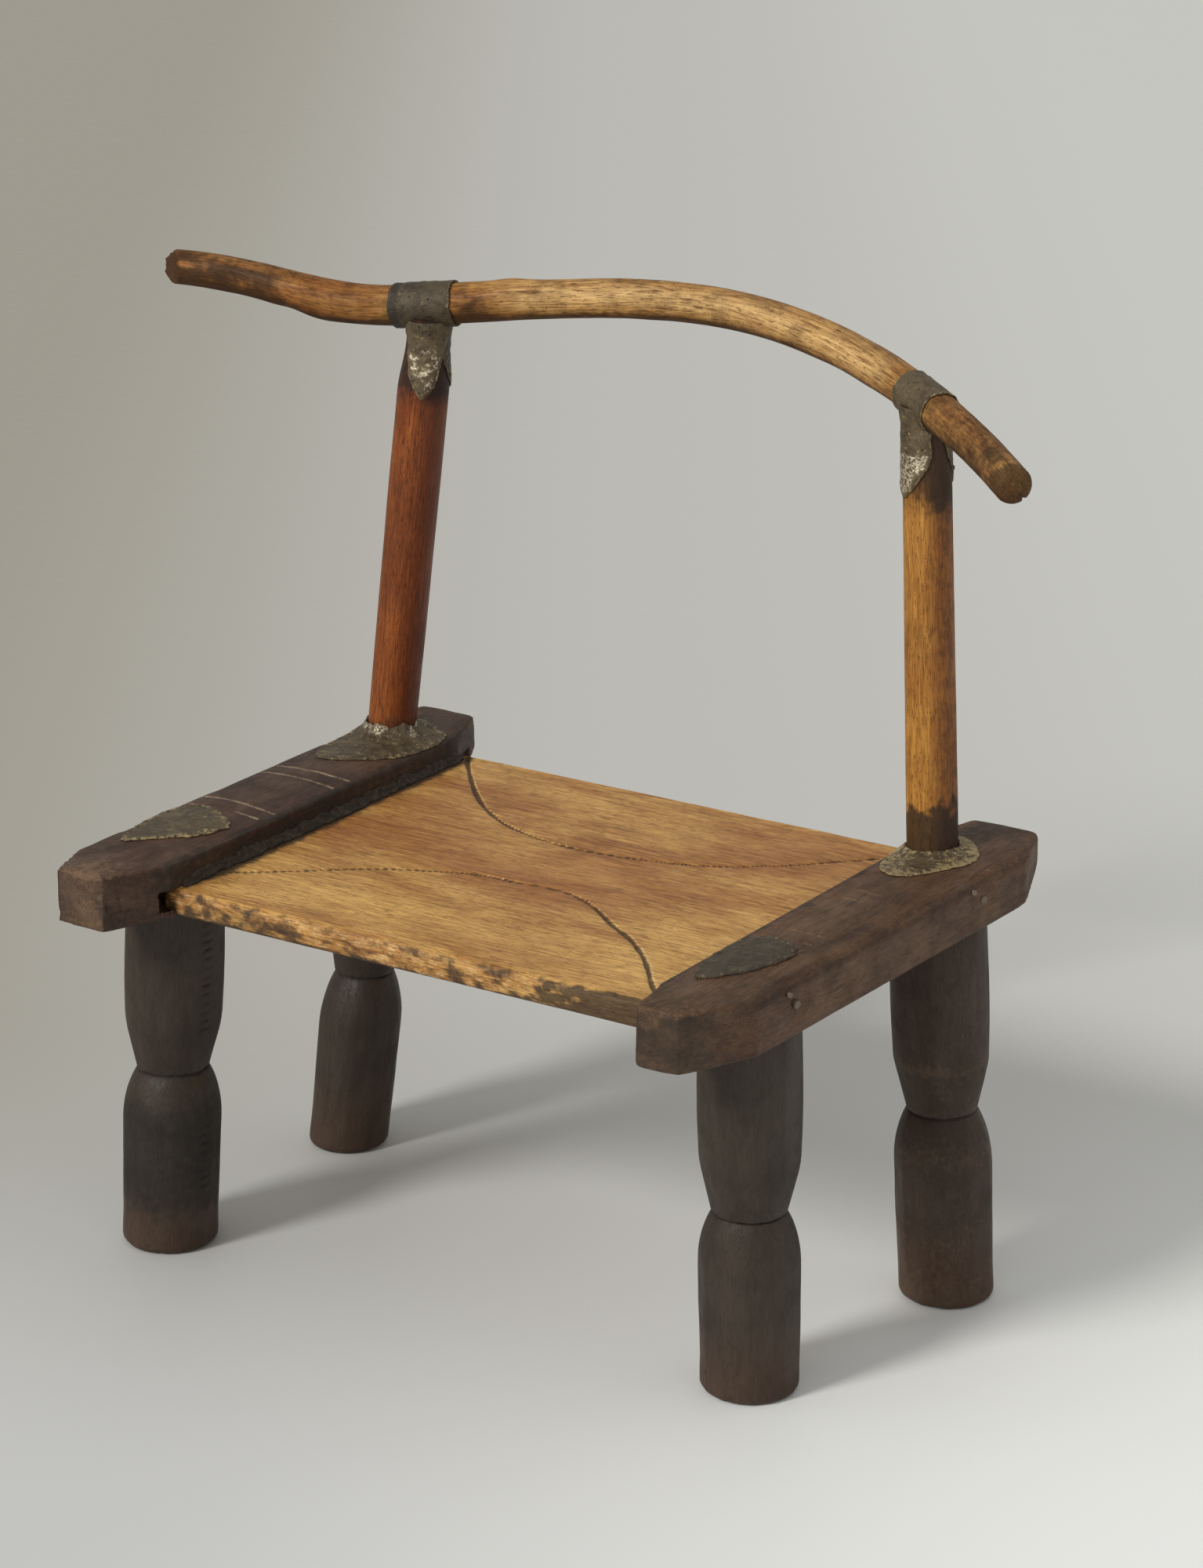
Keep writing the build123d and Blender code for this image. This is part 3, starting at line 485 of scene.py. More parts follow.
def wood(name, dark, middle, light, pore, streak_width=0.004, streak_length=12.0, gloss=0.42, relief=0.0005,
         grime=(0.02, 0.014, 0.01), grime_share=0.5, rubbed_colour=None, red=(0.20, 0.05, 0.02),
         pore_share=0.6, dash_share=0.45, soot_colour=(0.012, 0.010, 0.009), coat=0.0, shine=0.35, bare_and_highlight=None,
         fibre=0.8):
    """A carved wood: three tones of grain, pores, grime, rubbed edges, red heartwood, pale wood with painted
    highlight, and soot with painted shade.
    """
    made, tree, shader = material(name, middle)
    grain_place = attribute(tree, "grain")
    g = use(tree, GRAIN, Place=grain_place, Streak_Width=streak_width, Streak_Length=streak_length)
    h = use(tree, HANDLING, Place=grain_place, Rubbed=attribute(tree, "wear"))
    colour = tinted(tree, g["Streaks"], dark, middle)
    colour = tinted(tree, between(tree, g["Blotches"], 0.38, 0.66, 0.0, 0.75), colour, light)
    # pale is real pale wood and, on the branch and the posts, a painted highlight on their lit sides
    colour = tinted(tree, times(tree, attribute(tree, "pale"), 0.8), colour, bare_and_highlight or light)
    colour = tinted(tree, times(tree, attribute(tree, "red"), 0.8), colour, red)
    colour = tinted(tree, times(tree, h["Rubbed"], 0.85), colour, rubbed_colour or light)
    fine = between(tree, g["Fibres"], 0.38, 0.62, 0.0, fibre)
    colour = tinted(tree, fine, colour, tinted(tree, 1.0, colour, (0.55, 0.46, 0.38), "MULTIPLY"))
    colour = tinted(tree, times(tree, g["Dashes"], dash_share), colour, dark)
    colour = tinted(tree, times(tree, g["Pores"], pore_share), colour, pore)
    colour = tinted(tree, times(tree, h["Grime"], grime_share), colour, grime)
    colour = tinted(tree, times(tree, h["Specks"], 0.7), colour, pore)
    # the soot mark is real soot and also painted shade: shaded sides, undersides and corners are darkened with
    # the soot colour
    ragged = plus(tree, attribute(tree, "soot"),
                   times(tree, minus(tree, h["Dents"], 0.5), 0.9))
    soot = times(tree, between(tree, ragged, 0.2, 0.85), attribute(tree, "soot_depth"))
    colour = tinted(tree, soot, colour, soot_colour)
    rough = plus(tree, times(tree, h["Grime"], 0.16), gloss)
    rough = plus(tree, rough, times(tree, g["Fibres"], 0.12))
    rough = plus(tree, rough, times(tree, soot, 0.12))
    height = plus(tree, times(tree, g["Fibres"], 0.35), times(tree, h["Dents"], 0.7))
    height = minus(tree, height, times(tree, g["Pores"], 0.5))
    height = minus(tree, height, times(tree, g["Dashes"], 0.2))
    height = plus(tree, height, times(tree, g["Streaks"], 0.25))
    surface(tree, shader, colour, rough, height, relief)
    shader.inputs["Specular IOR Level"].default_value = shine
    shader.inputs["Coat Weight"].default_value = coat
    shader.inputs["Coat Roughness"].default_value = 0.28
    return made


def object_place(tree):
    """Place in the piece's own frame, in metres."""
    return node(tree, "ShaderNodeTexCoord").outputs["Object"]


def sheet_finish(name, dull, dark, glint_colour, edge):
    """Hammered sheet gone dull: brown-grey tarnish, painted glints of bright metal where the shine mark is
    high, and pitted yellow edges.
    """
    made, tree, shader = material(name, dull)
    place = object_place(tree)
    h = use(tree, HANDLING, Place=place, Rubbed=attribute(tree, "shine"), Speck_Size=0.0022)
    broad = noise(tree, place, 95.0, 5.0, 0.65, 0.5)
    fine = noise(tree, place, 620.0, 4.0, 0.6)
    colour = tinted(tree, between(tree, broad, 0.36, 0.62), dull, dark)
    coarse = noise(tree, place, 260.0, 3.0, 0.6, 0.6)
    grit = plus(tree, minus(tree, coarse, 0.5), times(tree, minus(tree, fine, 0.5), 0.6))
    pitted = plus(tree, attribute(tree, "rim"), times(tree, grit, 3.2))
    pitted = between(tree, pitted, 0.45, 0.95)
    colour = tinted(tree, times(tree, pitted, 0.75), colour, edge)
    colour = tinted(tree, between(tree, fine, 0.5, 0.75, 0.0, 0.5), colour, dark)
    # painted glints: bright, more metallic spots put where highlights fall
    painted_glint = times(tree, h["Rubbed"], between(tree, fine, 0.40, 0.60))
    colour = tinted(tree, painted_glint, colour, glint_colour)
    colour = tinted(tree, times(tree, h["Specks"], 0.8), colour, (0.03, 0.024, 0.018))
    # the soot mark darkens real soot and the painted shade under the sleeves
    colour = tinted(tree, times(tree, attribute(tree, "soot"), 0.8), colour, (0.02, 0.016, 0.013))
    rough = minus(tree, 0.52, times(tree, painted_glint, 0.25))
    tree.links.new(plus(tree, times(tree, painted_glint, 0.5), 0.35), shader.inputs["Metallic"])
    height = plus(tree, times(tree, fine, 0.5), times(tree, broad, 0.9))
    height = plus(tree, height, times(tree, h["Dents"], 0.5))
    height = minus(tree, height, times(tree, h["Specks"], 0.5))
    surface(tree, shader, colour, rough, height, 0.0012)
    return made


def rusted(name, base, bloom):
    """Old iron with a rougher bloom of rust."""
    made, tree, shader = material(name, base)
    place = object_place(tree)
    h = use(tree, HANDLING, Place=place, Rubbed=0.3, Speck_Size=0.0012)
    scale = noise(tree, place, 900.0, 4.0, 0.7)
    colour = tinted(tree, between(tree, scale, 0.4, 0.65), base, bloom)
    colour = tinted(tree, times(tree, h["Rubbed"], 0.5), colour, (0.30, 0.27, 0.22))
    rough = minus(tree, 0.75, times(tree, h["Rubbed"], 0.3))
    tree.links.new(times(tree, h["Rubbed"], 0.8), shader.inputs["Metallic"])
    surface(tree, shader, colour, rough, scale, 0.0006)
    return made


def resin_finish():
    """Dark, crusted, dull resin."""
    made, tree, shader = material("dark_resin", (0.04, 0.035, 0.03))
    place = object_place(tree)
    h = use(tree, HANDLING, Place=place, Rubbed=0.25, Speck_Size=0.002)
    crust = noise(tree, place, 240.0, 5.0, 0.7, 0.4)
    colour = tinted(tree, between(tree, crust, 0.4, 0.7), (0.028, 0.022, 0.016), (0.085, 0.064, 0.044))
    colour = tinted(tree, times(tree, h["Rubbed"], 0.5), colour, (0.12, 0.095, 0.065))
    rough = between(tree, crust, 0.3, 0.7, 0.55, 0.85)
    surface(tree, shader, colour, rough, crust, 0.0011)
    shader.inputs["Specular IOR Level"].default_value = 0.25
    return made


FINISH = {
    "seat": wood("seat_wood", (0.27, 0.102, 0.023), (0.60, 0.305, 0.077), (0.80, 0.49, 0.145),
                 (0.14, 0.060, 0.018), streak_width=0.0022, streak_length=16.0, gloss=0.44,
                 red=(0.38, 0.148, 0.040), grime=(0.18, 0.070, 0.022), grime_share=0.2,
                 rubbed_colour=(0.76, 0.50, 0.22), dash_share=0.7, soot_colour=(0.03, 0.02, 0.013),
                 coat=0.08, shine=0.3),
    "left_rail": wood("left_rail_wood", (0.040, 0.017, 0.010), (0.072, 0.034, 0.020), (0.115, 0.063, 0.036),
                      (0.02, 0.012, 0.009), gloss=0.46, rubbed_colour=(0.20, 0.115, 0.06),
                      red=(0.14, 0.05, 0.02), grime_share=0.45, pore_share=0.3, relief=0.0006,
                      soot_colour=(0.014, 0.011, 0.008), bare_and_highlight=(0.50, 0.38, 0.26), fibre=0.5),
    "right_rail": wood("right_rail_wood", (0.052, 0.021, 0.009), (0.098, 0.049, 0.022), (0.145, 0.080, 0.038),
                       (0.025, 0.014, 0.009), gloss=0.44, rubbed_colour=(0.25, 0.13, 0.055),
                       red=(0.15, 0.06, 0.022), grime_share=0.4, pore_share=0.3, relief=0.0006,
                       soot_colour=(0.024, 0.018, 0.012), bare_and_highlight=(0.34, 0.24, 0.15), fibre=0.5),
    "legs": wood("leg_wood", (0.031, 0.021, 0.014), (0.042, 0.030, 0.021), (0.056, 0.041, 0.029),
                 (0.020, 0.013, 0.009), gloss=0.44, rubbed_colour=(0.095, 0.058, 0.034), grime_share=0.25,
                 red=(0.090, 0.037, 0.017), pore_share=0.12, dash_share=0.08, relief=0.00035, shine=0.3,
                 fibre=0.25),
    "left_post": wood("left_post_wood", (0.12, 0.027, 0.007), (0.245, 0.058, 0.012), (0.36, 0.108, 0.022),
                      (0.05, 0.015, 0.008), streak_width=0.0018, streak_length=22.0, gloss=0.36,
                      red=(0.13, 0.030, 0.009), rubbed_colour=(0.48, 0.21, 0.05), grime_share=0.25,
                      dash_share=0.5, coat=0.06, shine=0.2),
    "right_post": wood("right_post_wood", (0.26, 0.090, 0.015), (0.47, 0.205, 0.036), (0.60, 0.31, 0.066),
                       (0.10, 0.04, 0.013), streak_width=0.0018, streak_length=22.0, gloss=0.36,
                       red=(0.22, 0.070, 0.014), rubbed_colour=(0.66, 0.38, 0.11), grime=(0.13, 0.055, 0.016),
                       grime_share=0.3, dash_share=0.65, coat=0.06, shine=0.2),
    # the branch's bare colour is the pale of its painted highlight
    "branch": wood("branch_wood", (0.17, 0.062, 0.015), (0.47, 0.225, 0.055), (0.66, 0.38, 0.115),
                   (0.07, 0.03, 0.012), streak_width=0.0021, streak_length=16.0, gloss=0.47,
                   red=(0.26, 0.085, 0.018), rubbed_colour=(0.68, 0.45, 0.18), grime=(0.06, 0.027, 0.010),
                   grime_share=0.45, dash_share=0.8, soot_colour=(0.030, 0.016, 0.007), coat=0.02,
                   shine=0.16, bare_and_highlight=(0.78, 0.52, 0.22)),
    # the third colour of the sheet and tack finishes is the bright metal of their painted glints
    "sheet": sheet_finish("tarnished_sheet", (0.142, 0.104, 0.053), (0.075, 0.050, 0.027), (0.80, 0.71, 0.52),
                          (0.45, 0.335, 0.16)),
    "tack": sheet_finish("tarnished_tacks", (0.15, 0.11, 0.06), (0.08, 0.06, 0.038), (0.6, 0.54, 0.40),
                         (0.36, 0.27, 0.13)),
    "nail": rusted("nail_iron", (0.14, 0.12, 0.10), (0.20, 0.125, 0.075)),
    "resin": resin_finish(),
}


# ---------------------------------------------------------------- round bars: legs, posts and the branch
def rounded_ends(distance, radius, rounding):
    """Radius of a bar, drawn in within `rounding` of an end."""
    near = unit(1 - distance / rounding)
    return radius - rounding * (1 - np.sqrt(1 - near**2))


def bar(name, centre, frames, radius, low, high, shares, columns, cap_shares=(0.3, 0.6, 0.85)):
    """Round bar whose two ends may be cut at a slant or hollowed.

    centre(s) and frames(s) give its line and the two directions across it, radius(s, angle, distance to the
    ends) its girth, and low and high where a lengthwise line at that radius and angle begins and ends."""
    angle = all_round(columns)
    at_end, far = np.zeros(columns), np.full(columns, 99.0)
    rim_low = radius(low(0, angle), angle, at_end, far)
    rim_high = radius(high(0, angle), angle, far, at_end)
    full = radius(low(0, angle), angle, far, far)
    start, end = low(full, angle), high(full, angle)
    rows = [(low(rim_low * share, angle), rim_low * share) for share in cap_shares]
    for share in shares:
        s = start + (end - start) * share
        rows.append((s, radius(s, angle, s - start, end - s)))
    rows += [(high(rim_high * share, angle), rim_high * share) for share in reversed(cap_shares)]
    s, rho = np.array(rows).transpose(1, 0, 2)
    across_x, across_y = frames(s)
    out = np.cos(angle)[None, :, None] * across_x + np.sin(angle)[None, :, None] * across_y
    points = centre(s) + rho[..., None] * out
    flat = closed_ends(points)
    made = piece_from(name, flat, ring_faces(len(rows), columns), sharp=50)
    ends = [[0, 0, s[0].mean()], [0, 0, s[-1].mean()]]
    grain = np.concatenate([on_round(rho, angle, s).reshape(-1, 3), ends])
    marked(made.data, "grain", grain * MM)
    turned = np.concatenate([np.broadcast_to(angle, s.shape).ravel(), [0, 0]])
    return made, flat, grain[:, 2], turned


def facets(angle, count, seed, depth):
    """How far the flats of a knife cut a round bar in."""
    draw = np.random.default_rng(seed)
    turns = np.sort((np.arange(count) + draw.uniform(-0.3, 0.3, count)) * tau / count)
    cuts = draw.uniform(0.2, 1.0, count) * depth
    away = np.abs(turn_from(angle[..., None], turns))
    half = tau / count * 0.62
    bite = unit(1 - (away / half)**2) * cuts
    return bite.max(axis=-1)


def spaced(length, step, fine=0.0, fine_step=0.6):
    """Shares of a length for its rings: finer within `fine` of both ends."""
    ends = np.arange(0, fine, fine_step)
    middle = np.linspace(fine, length - fine, max(2, int((length - 2 * fine) / step)))
    places = np.concatenate([ends, middle, (length - ends)[::-1]])
    return np.unique(np.round(places / length, 6))


def set_marks(piece, **marks):
    """Keeps what a wood's finish reads at each point: wear, soot with painted shade, red, pale wood with
    painted light, and how strong the soot and shade are.
    """
    count = len(piece.data.vertices)
    for name, values in marks.items():
        marked(piece.data, name, np.broadcast_to(unit(values), count))


WAIST, WAIST_RADIUS = 120, 22.4           # the V between a leg's two barrels
SHOULDER, SHOULDER_RADIUS = 153, 29.8     # the upper barrel's lower edge
LOWER_BARREL = smooth_line((-8, 40, 78, 92, 101, 109, 115, WAIST),
                           (29.2, 30.4, 30.9, 30.6, 29.3, 27.2, 24.9, WAIST_RADIUS))
UPPER_BARREL = smooth_line((SHOULDER, 185, 253), (SHOULDER_RADIUS, 30.6, 29.6))
LEG_FULLNESS = {"front_left": (0.1, 0.3), "front_right": (0.2, -0.3), "rear_left": (-0.9, -1.2),
                "rear_right": (0.1, 0.2)}     # upper and lower barrel


def leg_radius(height):
    """Girth of an even leg: two barrels that meet in a V at the waist."""
    slope = WAIST_RADIUS + (SHOULDER_RADIUS - WAIST_RADIUS) * unit((height - WAIST) / (SHOULDER - WAIST))
    radius = np.where(height < WAIST, LOWER_BARREL(np.clip(height, -8, WAIST)), slope)
    return np.where(height > SHOULDER, UPPER_BARREL(np.clip(height, SHOULDER, 253)), radius)


def upright_frames(s):
    """The directions across a leg or a post, the same all the way up."""
    return np.broadcast_to((1.0, 0, 0), s.shape + (3,)), np.broadcast_to((0, 1.0, 0), s.shape + (3,))


def make_leg(name, seed):
    """Carved leg: two barrels cut with a knife, a groove at the waist and a tenon."""
    top = np.array([*LEG_TOPS[name], RAIL_BOTTOM])
    foot = top + np.array([*LEG_SPLAY[name], -RAIL_BOTTOM])
    lean = (top - foot) / RAIL_BOTTOM
    peg = RAIL_BOTTOM + TENON_LENGTH[name.split("_")[0]]
    crisp = 1.0 if name == "rear_right" else 0.55

    def centre(s):
        return foot + s[..., None] * lean

    def radius(s, angle, from_low, from_high):
        surface_place = on_round(30, angle, s)
        upper, lower = eased(s, 122, 150), eased(s, 118, 92)
        r = leg_radius(s) * LEG_GIRTH[name] + np.where(s > WAIST, *LEG_FULLNESS[name])
        r = r + upper * (0.75 - facets(angle, 9, seed, 1.1))
        r = r + lower * (0.75 - facets(angle, 10, seed + 5, 1.1) * eased(s, 0, 25))
        r = r - unit(lumps(surface_place, (7, 7, 38), seed) - 0.15) * 0.5
        r = r - layered(surface_place, (16, 16, 30), seed + 9) * 0.35
        r = r - hump(s, SHOULDER, 5.0 - 3.0 * crisp) * (0.6 - 0.5 * crisp)
        r = r - hump(s, 120.4 + 0.5 * np.sin(angle + seed), 0.6) * 0.7
        r = r - hump(s, 121.5, 2.2) * unit(lumps(surface_place, 4.0, seed + 7)) * 0.6
        r = rounded_ends(from_low, r, 5.0)
        r = r - unit(lumps(surface_place, 6.0, seed + 3) - 0.35) * eased(s, 9, 1) * 2.4
        if name == "front_left":
            r = r - hatch_marks(s, angle)
        return np.where(s > RAIL_BOTTOM - 0.05, TENON_RADIUS, r)

    def low(rho, angle):
        return 0.0 * angle + 0.0 * rho

    def high(rho, angle):
        return peg + 0.0 * angle + 0.0 * rho

    body = np.concatenate([np.arange(0, 6, 0.75), np.arange(6, 112, 1.15), np.arange(112, 130, 0.5),
                           np.arange(130, RAIL_BOTTOM - 0.1, 1.15)])
    shares = np.concatenate([body, [RAIL_BOTTOM - 0.1, RAIL_BOTTOM, peg]]) / peg
    made, points, s, angle = bar(name + "_leg_wood", centre, upright_frames, radius, low, high, shares, 168)
    place = points - foot
    foot_wear = eased(s, 34, 4) * 0.45 + eased(s, 6, 0) * 0.3
    edge = hump(s, SHOULDER, 4) * 0.22 + hump(s, 97, 6) * 0.15
    edge += hump(s, 122, 1.6) * 0.45 * (lumps(place, 5.0, seed + 7) > 0.25)
    patches = unit(layered(place, (26, 26, 40), seed + 21) - 0.1)
    smoked = eased(s, 118, 90) * eased(s, 12, 40) * (0.75 if name == "front_left" else 0.1)
    # painted light: the rear right leg is painted lighter and redder for light bounced up from the floor
    bounce_light_on_leg = 0.6 if name == "rear_right" else 0.0
    set_marks(made, wear=foot_wear * 0.7 + edge + patches * 0.2 + bounce_light_on_leg * 0.6,
              # eased(s, 225, 246) is painted shade at the leg's top, under the rail
              soot=hump(s, 120.4, 1.3) * 0.8 + eased(s, 225, 246) * 0.4 + smoked,
              red=eased(s, 60, 8) * 0.65 * (0.6 + patches) + bounce_light_on_leg * 0.3, pale=0.0, soot_depth=0.7)
    return finished(made, "leg_wood", FINISH["legs"], name + "_leg")


def hatch_marks(s, angle):
    """Small notches, one above another, cut in two bands on the front left leg."""
    facing = radians(-10.0)
    across = np.abs(turn_from(angle, facing)) * 30
    bands = eased(s, 148, 152) * eased(s, 232, 228) + eased(s, 34, 38) * eased(s, 92, 88)
    pitch = 6.0
    saw = np.abs((s / pitch) % 1 - 0.5) * pitch
    return unit(1 - saw / 1.2) * bands * unit(1.2 - (across / 5.0)**2)


def post_line(side):
    """A post's foot, how it leans for each millimetre of height, and its length up to the branch's line."""
    foot, head = np.array(POST_FEET[side]), np.array(POST_HEADS[side])
    length = head[2] - foot[2]
    return foot, (head - foot) / length, length


def post_girth(side, s):
    """Radius of an even post at a height above its foot."""
    length = post_line(side)[2]
    base, belly, upper, neck = POST_RADII[side]
    lower_part = smooth_line([p * length for p in (-0.05, *POST_PLACES[:3])], (base, base, belly, upper))
    share = eased(s, POST_PLACES[2] * length, POST_PLACES[3] * length)
    return lower_part(np.clip(s, -15, POST_PLACES[2] * length)) * (1 - share) + neck * share


def make_post(side, seed):
    """Post with a round foot in the rail and a hollowed top on which the branch lies."""
    foot, lean, length = post_line(side)
    joint = JOINT_STATION[side]
    branch_radius_here = BRANCH_STATIONS[joint][1]
    tangent = branch_tangent(BRANCH_KNOTS[joint])
    along = tangent[:2] / np.hypot(*tangent[:2])
    horn = length - branch_radius_here + CRADLE_DEPTH

    def centre(s):
        return foot + s[..., None] * lean

    def radius(s, angle, from_low, from_high):
        r = np.where(s < 0, POST_RADII[side][0], post_girth(side, s))
        uneven = layered(on_round(16, angle, s), (14, 14, 60), seed) * 0.32
        flats = (facets(angle, 8, seed + 2, 0.5) - 0.2) * eased(s, 0, 30)
        return r - uneven - flats

    def low(rho, angle):
        return -POST_SOCKET + 0.0 * angle + 0.0 * rho

    def high(rho, angle):
        x, y = rho * np.cos(angle), rho * np.sin(angle)
        sideways = x * -along[1] + y * along[0]
        forward = x * along[0] + y * along[1]
        axis_height = length + forward * tangent[2] / np.hypot(*tangent[:2])
        drop = np.sqrt(np.clip((branch_radius_here + 0.2)**2 - sideways**2, 0, None))
        return np.minimum(horn, axis_height - drop)

    shares = spaced(length + POST_SOCKET, 1.3)
    made, points, s, angle = bar(side + "_post_wood", centre, upright_frames, radius, low, high, shares, 96,
                                 cap_shares=(0.2, 0.4, 0.6, 0.8, 0.95))
    place = points - foot
    patches = layered(place, (20, 20, 90), seed + 4)
    # the last two numbers of each are painted light: how much the side away from the lamp is darkened and the
    # side towards it paled
    scorch_and_side_light = (26, 15, 11, 0.36, 0.2) if side == "right" else (7, 4, 1, 0.15, 0.18)
    bottom, coarse, fine, side_soot, side_light = scorch_and_side_light
    ragged = layered(place, (7, 7, 12), seed + 8) * coarse + lumps(place, (3.2, 3.2, 5), seed + 9) * fine
    scorch = eased(s + ragged, bottom + 14, bottom - 14)
    neck_dark = eased(s, length - 75, length - 45) * 0.8
    # painted shade: the post's side away from the lamp is darkened and reddened; the other side is painted
    # paler, and the lower part paler still for light bounced from the floor
    shaded_side = eased(np.cos(angle - radians(12)), 0.05, 0.8)
    floor_bounce_on_post = eased(s, 150, 60) * (1 - shaded_side)
    set_marks(made, wear=patches * 0.45 + 0.12, soot=np.maximum(scorch, neck_dark) + shaded_side * side_soot,
              red=shaded_side * 0.9 + eased(patches, 0, 0.9) * 0.3,
              pale=floor_bounce_on_post * 0.45 + (1 - shaded_side) * side_light, soot_depth=0.85)
    return finished(made, side + "_post_wood", FINISH[side + "_post"], side + "_post")


BRANCH_KNOTS = np.concatenate([[0], np.cumsum([
    np.linalg.norm(np.subtract(after[0], before[0]))
    for before, after in zip(BRANCH_STATIONS, BRANCH_STATIONS[1:])])])
BRANCH_LINE = smooth_line(BRANCH_KNOTS, [station[0] for station in BRANCH_STATIONS])
BRANCH_LENGTH = BRANCH_KNOTS[-1]


def branch_tangent(s):
    """Direction of the branch's line."""
    step = 0.5
    s = np.clip(np.asarray(s, float), step, BRANCH_LENGTH - step)
    ahead = BRANCH_LINE(s + step) - BRANCH_LINE(s - step)
    return ahead / np.linalg.norm(ahead, axis=-1, keepdims=True)


def branch_frames(s):
    """The two directions across the branch: level, and up."""
    ahead = branch_tangent(s)
    sideways = np.cross((0, 0, 1.0), ahead)
    sideways /= np.linalg.norm(sideways, axis=-1, keepdims=True)
    return sideways, np.cross(ahead, sideways)


def branch_girth(s):
    """Radius along the branch, eased between its stations."""
    span = np.clip(np.searchsorted(BRANCH_KNOTS, s) - 1, 0, len(BRANCH_KNOTS) - 2)
    radii = np.array([station[1] for station in BRANCH_STATIONS])
    share = eased(s, BRANCH_KNOTS[span], BRANCH_KNOTS[span + 1])
    return radii[span] + (radii[span + 1] - radii[span]) * share


def make_branch(seed):
    """Bent branch with a slanted cut at its left tip, knots and a split, painted shade on its underside and a
    painted highlight on its lit front.
    """
    tip_ahead = branch_tangent(0.0)
    joint_left, joint_right = (BRANCH_KNOTS[JOINT_STATION[side]] for side in ("left", "right"))
    cut_normal = np.array([
        -tip_ahead[0] * cos(SLANT) + tip_ahead[1] * sin(SLANT),
        -tip_ahead[0] * sin(SLANT) - tip_ahead[1] * cos(SLANT), -tip_ahead[2]])
    cut_place = BRANCH_LINE(0.0) + tip_ahead * SLANTED_CUT

    def radius(s, angle, from_low, from_high):
        r = branch_girth(s)
        uneven = layered(on_round(13, angle, s), (13, 13, 34), seed) * 0.5
        held = 1 - sum(eased(np.abs(s - BRANCH_KNOTS[j]), 24, 17) for j in JOINT_STATION.values())
        r = r - uneven * (0.25 + 0.75 * held)
        flats = (facets(angle, 7, seed + 3, 0.8) - 0.3) * eased(s, 120, 30)
        knot = hump(s, joint_left + 56, 13) * unit(np.sin(angle))
        below = unit(-np.sin(angle - 0.35))
        knee = hump(s, joint_left - 78, 12) - 1.1 * hump(s, joint_left - 100, 9)
        r = r - flats + 1.7 * knot + knee * below
        r = rounded_ends(from_low, r, 1.6)
        r = rounded_ends(from_high, r, 7.0)
        split = hump(turn_from(angle, radians(-52)) * r, 0, 0.9) * 2.4
        return r - split * eased(s, BRANCH_LENGTH - 15, BRANCH_LENGTH - 2)

    def low(rho, angle):
        across_x, across_y = branch_frames(np.array(0.0))
        out = np.cos(angle)[:, None] * across_x + np.sin(angle)[:, None] * across_y
        rho = rho * np.ones_like(angle)
        offset = BRANCH_LINE(0.0) + rho[:, None] * out - cut_place
        slanted = -(offset @ cut_normal) / (tip_ahead @ cut_normal)
        return np.clip(np.maximum(slanted, (rho * np.sin(angle) + 0.5) * 1.4), 0.0, None)

    def high(rho, angle):
        return BRANCH_LENGTH - 2.0 * (rho / 11.3)**2 + 0.0 * angle

    shares = spaced(BRANCH_LENGTH, 1.35, fine=9.0, fine_step=0.9)
    made, place, s, angle = bar("bent_branch", BRANCH_LINE, branch_frames, radius, low, high, shares, 84)
    patches = layered(on_round(13, angle, s), (12, 12, 60), seed + 6)
    near_tip = eased(s, 128, 84)
    near_knot = eased(np.abs(s - 160), 34, 12)
    end = eased(s, BRANCH_LENGTH - 22, BRANCH_LENGTH - 6)
    beside_left = hump(s, joint_left - 24, 14) + 0.7 * hump(s, joint_left + 28, 14)
    beside_right = hump(s, joint_right, 24) * 0.5
    arm = eased(s, joint_right, joint_right + 30)
    # painted shade: the branch's underside is darkened and reddened
    shaded_underside = eased(-np.sin(angle), 0.2, 0.9)
    knot_place = BRANCH_LINE(BRANCH_LENGTH - 1.0) + np.array([0, 0, 2.5])
    facet = eased(np.abs((place - cut_place) @ cut_normal), 1.2, 0.3)
    streaks = layered(on_round(13, angle, s), (6, 6, 30), seed + 9)
    # painted light: lit_side faces the lamp and is painted paler; the rest of the golden middle gets painted
    # shade
    lit_side = hump(turn_from(angle, radians(158)), 0, radians(36))
    golden = eased(s, joint_left + 36, joint_left + 70) * eased(s, joint_right - 24, joint_right - 44)
    soot = near_tip * (0.62 + 0.55 * streaks) + facet * 1.1 + end * 0.4 + beside_left * 0.42
    soot = soot + beside_right + arm * 0.42 + shaded_underside * 0.62
    soot = soot + unit(patches - 0.1) * 0.8 * (1 - 0.6 * near_knot) * (1 - 0.45 * golden)
    soot = soot + 1.2 * spot(place, knot_place, 7.0) + golden * 0.22 * (1 - lit_side)
    # painted shade under the arm left of the left post
    soot = soot + eased(-np.sin(angle), 0.5, 0.95) * hump(s, joint_left - 55, 26) * 0.9
    set_marks(made, wear=unit(-patches * 0.6 + 0.1 * near_knot) * (1 - facet), soot=soot,
              red=eased(patches, -0.1, 0.8) * 0.4 * (1 - 0.5 * golden) + arm * 0.25 + shaded_underside * 0.5
              + eased(s, joint_left - 10, joint_left - 45) * 0.55 + facet * 0.8,
              pale=golden * (0.2 + 0.8 * lit_side + 0.4 * unit(-patches)) * (1 - shaded_underside),
              soot_depth=0.8)
    return finished(made, "branch_wood", FINISH["branch"], "back_rail")


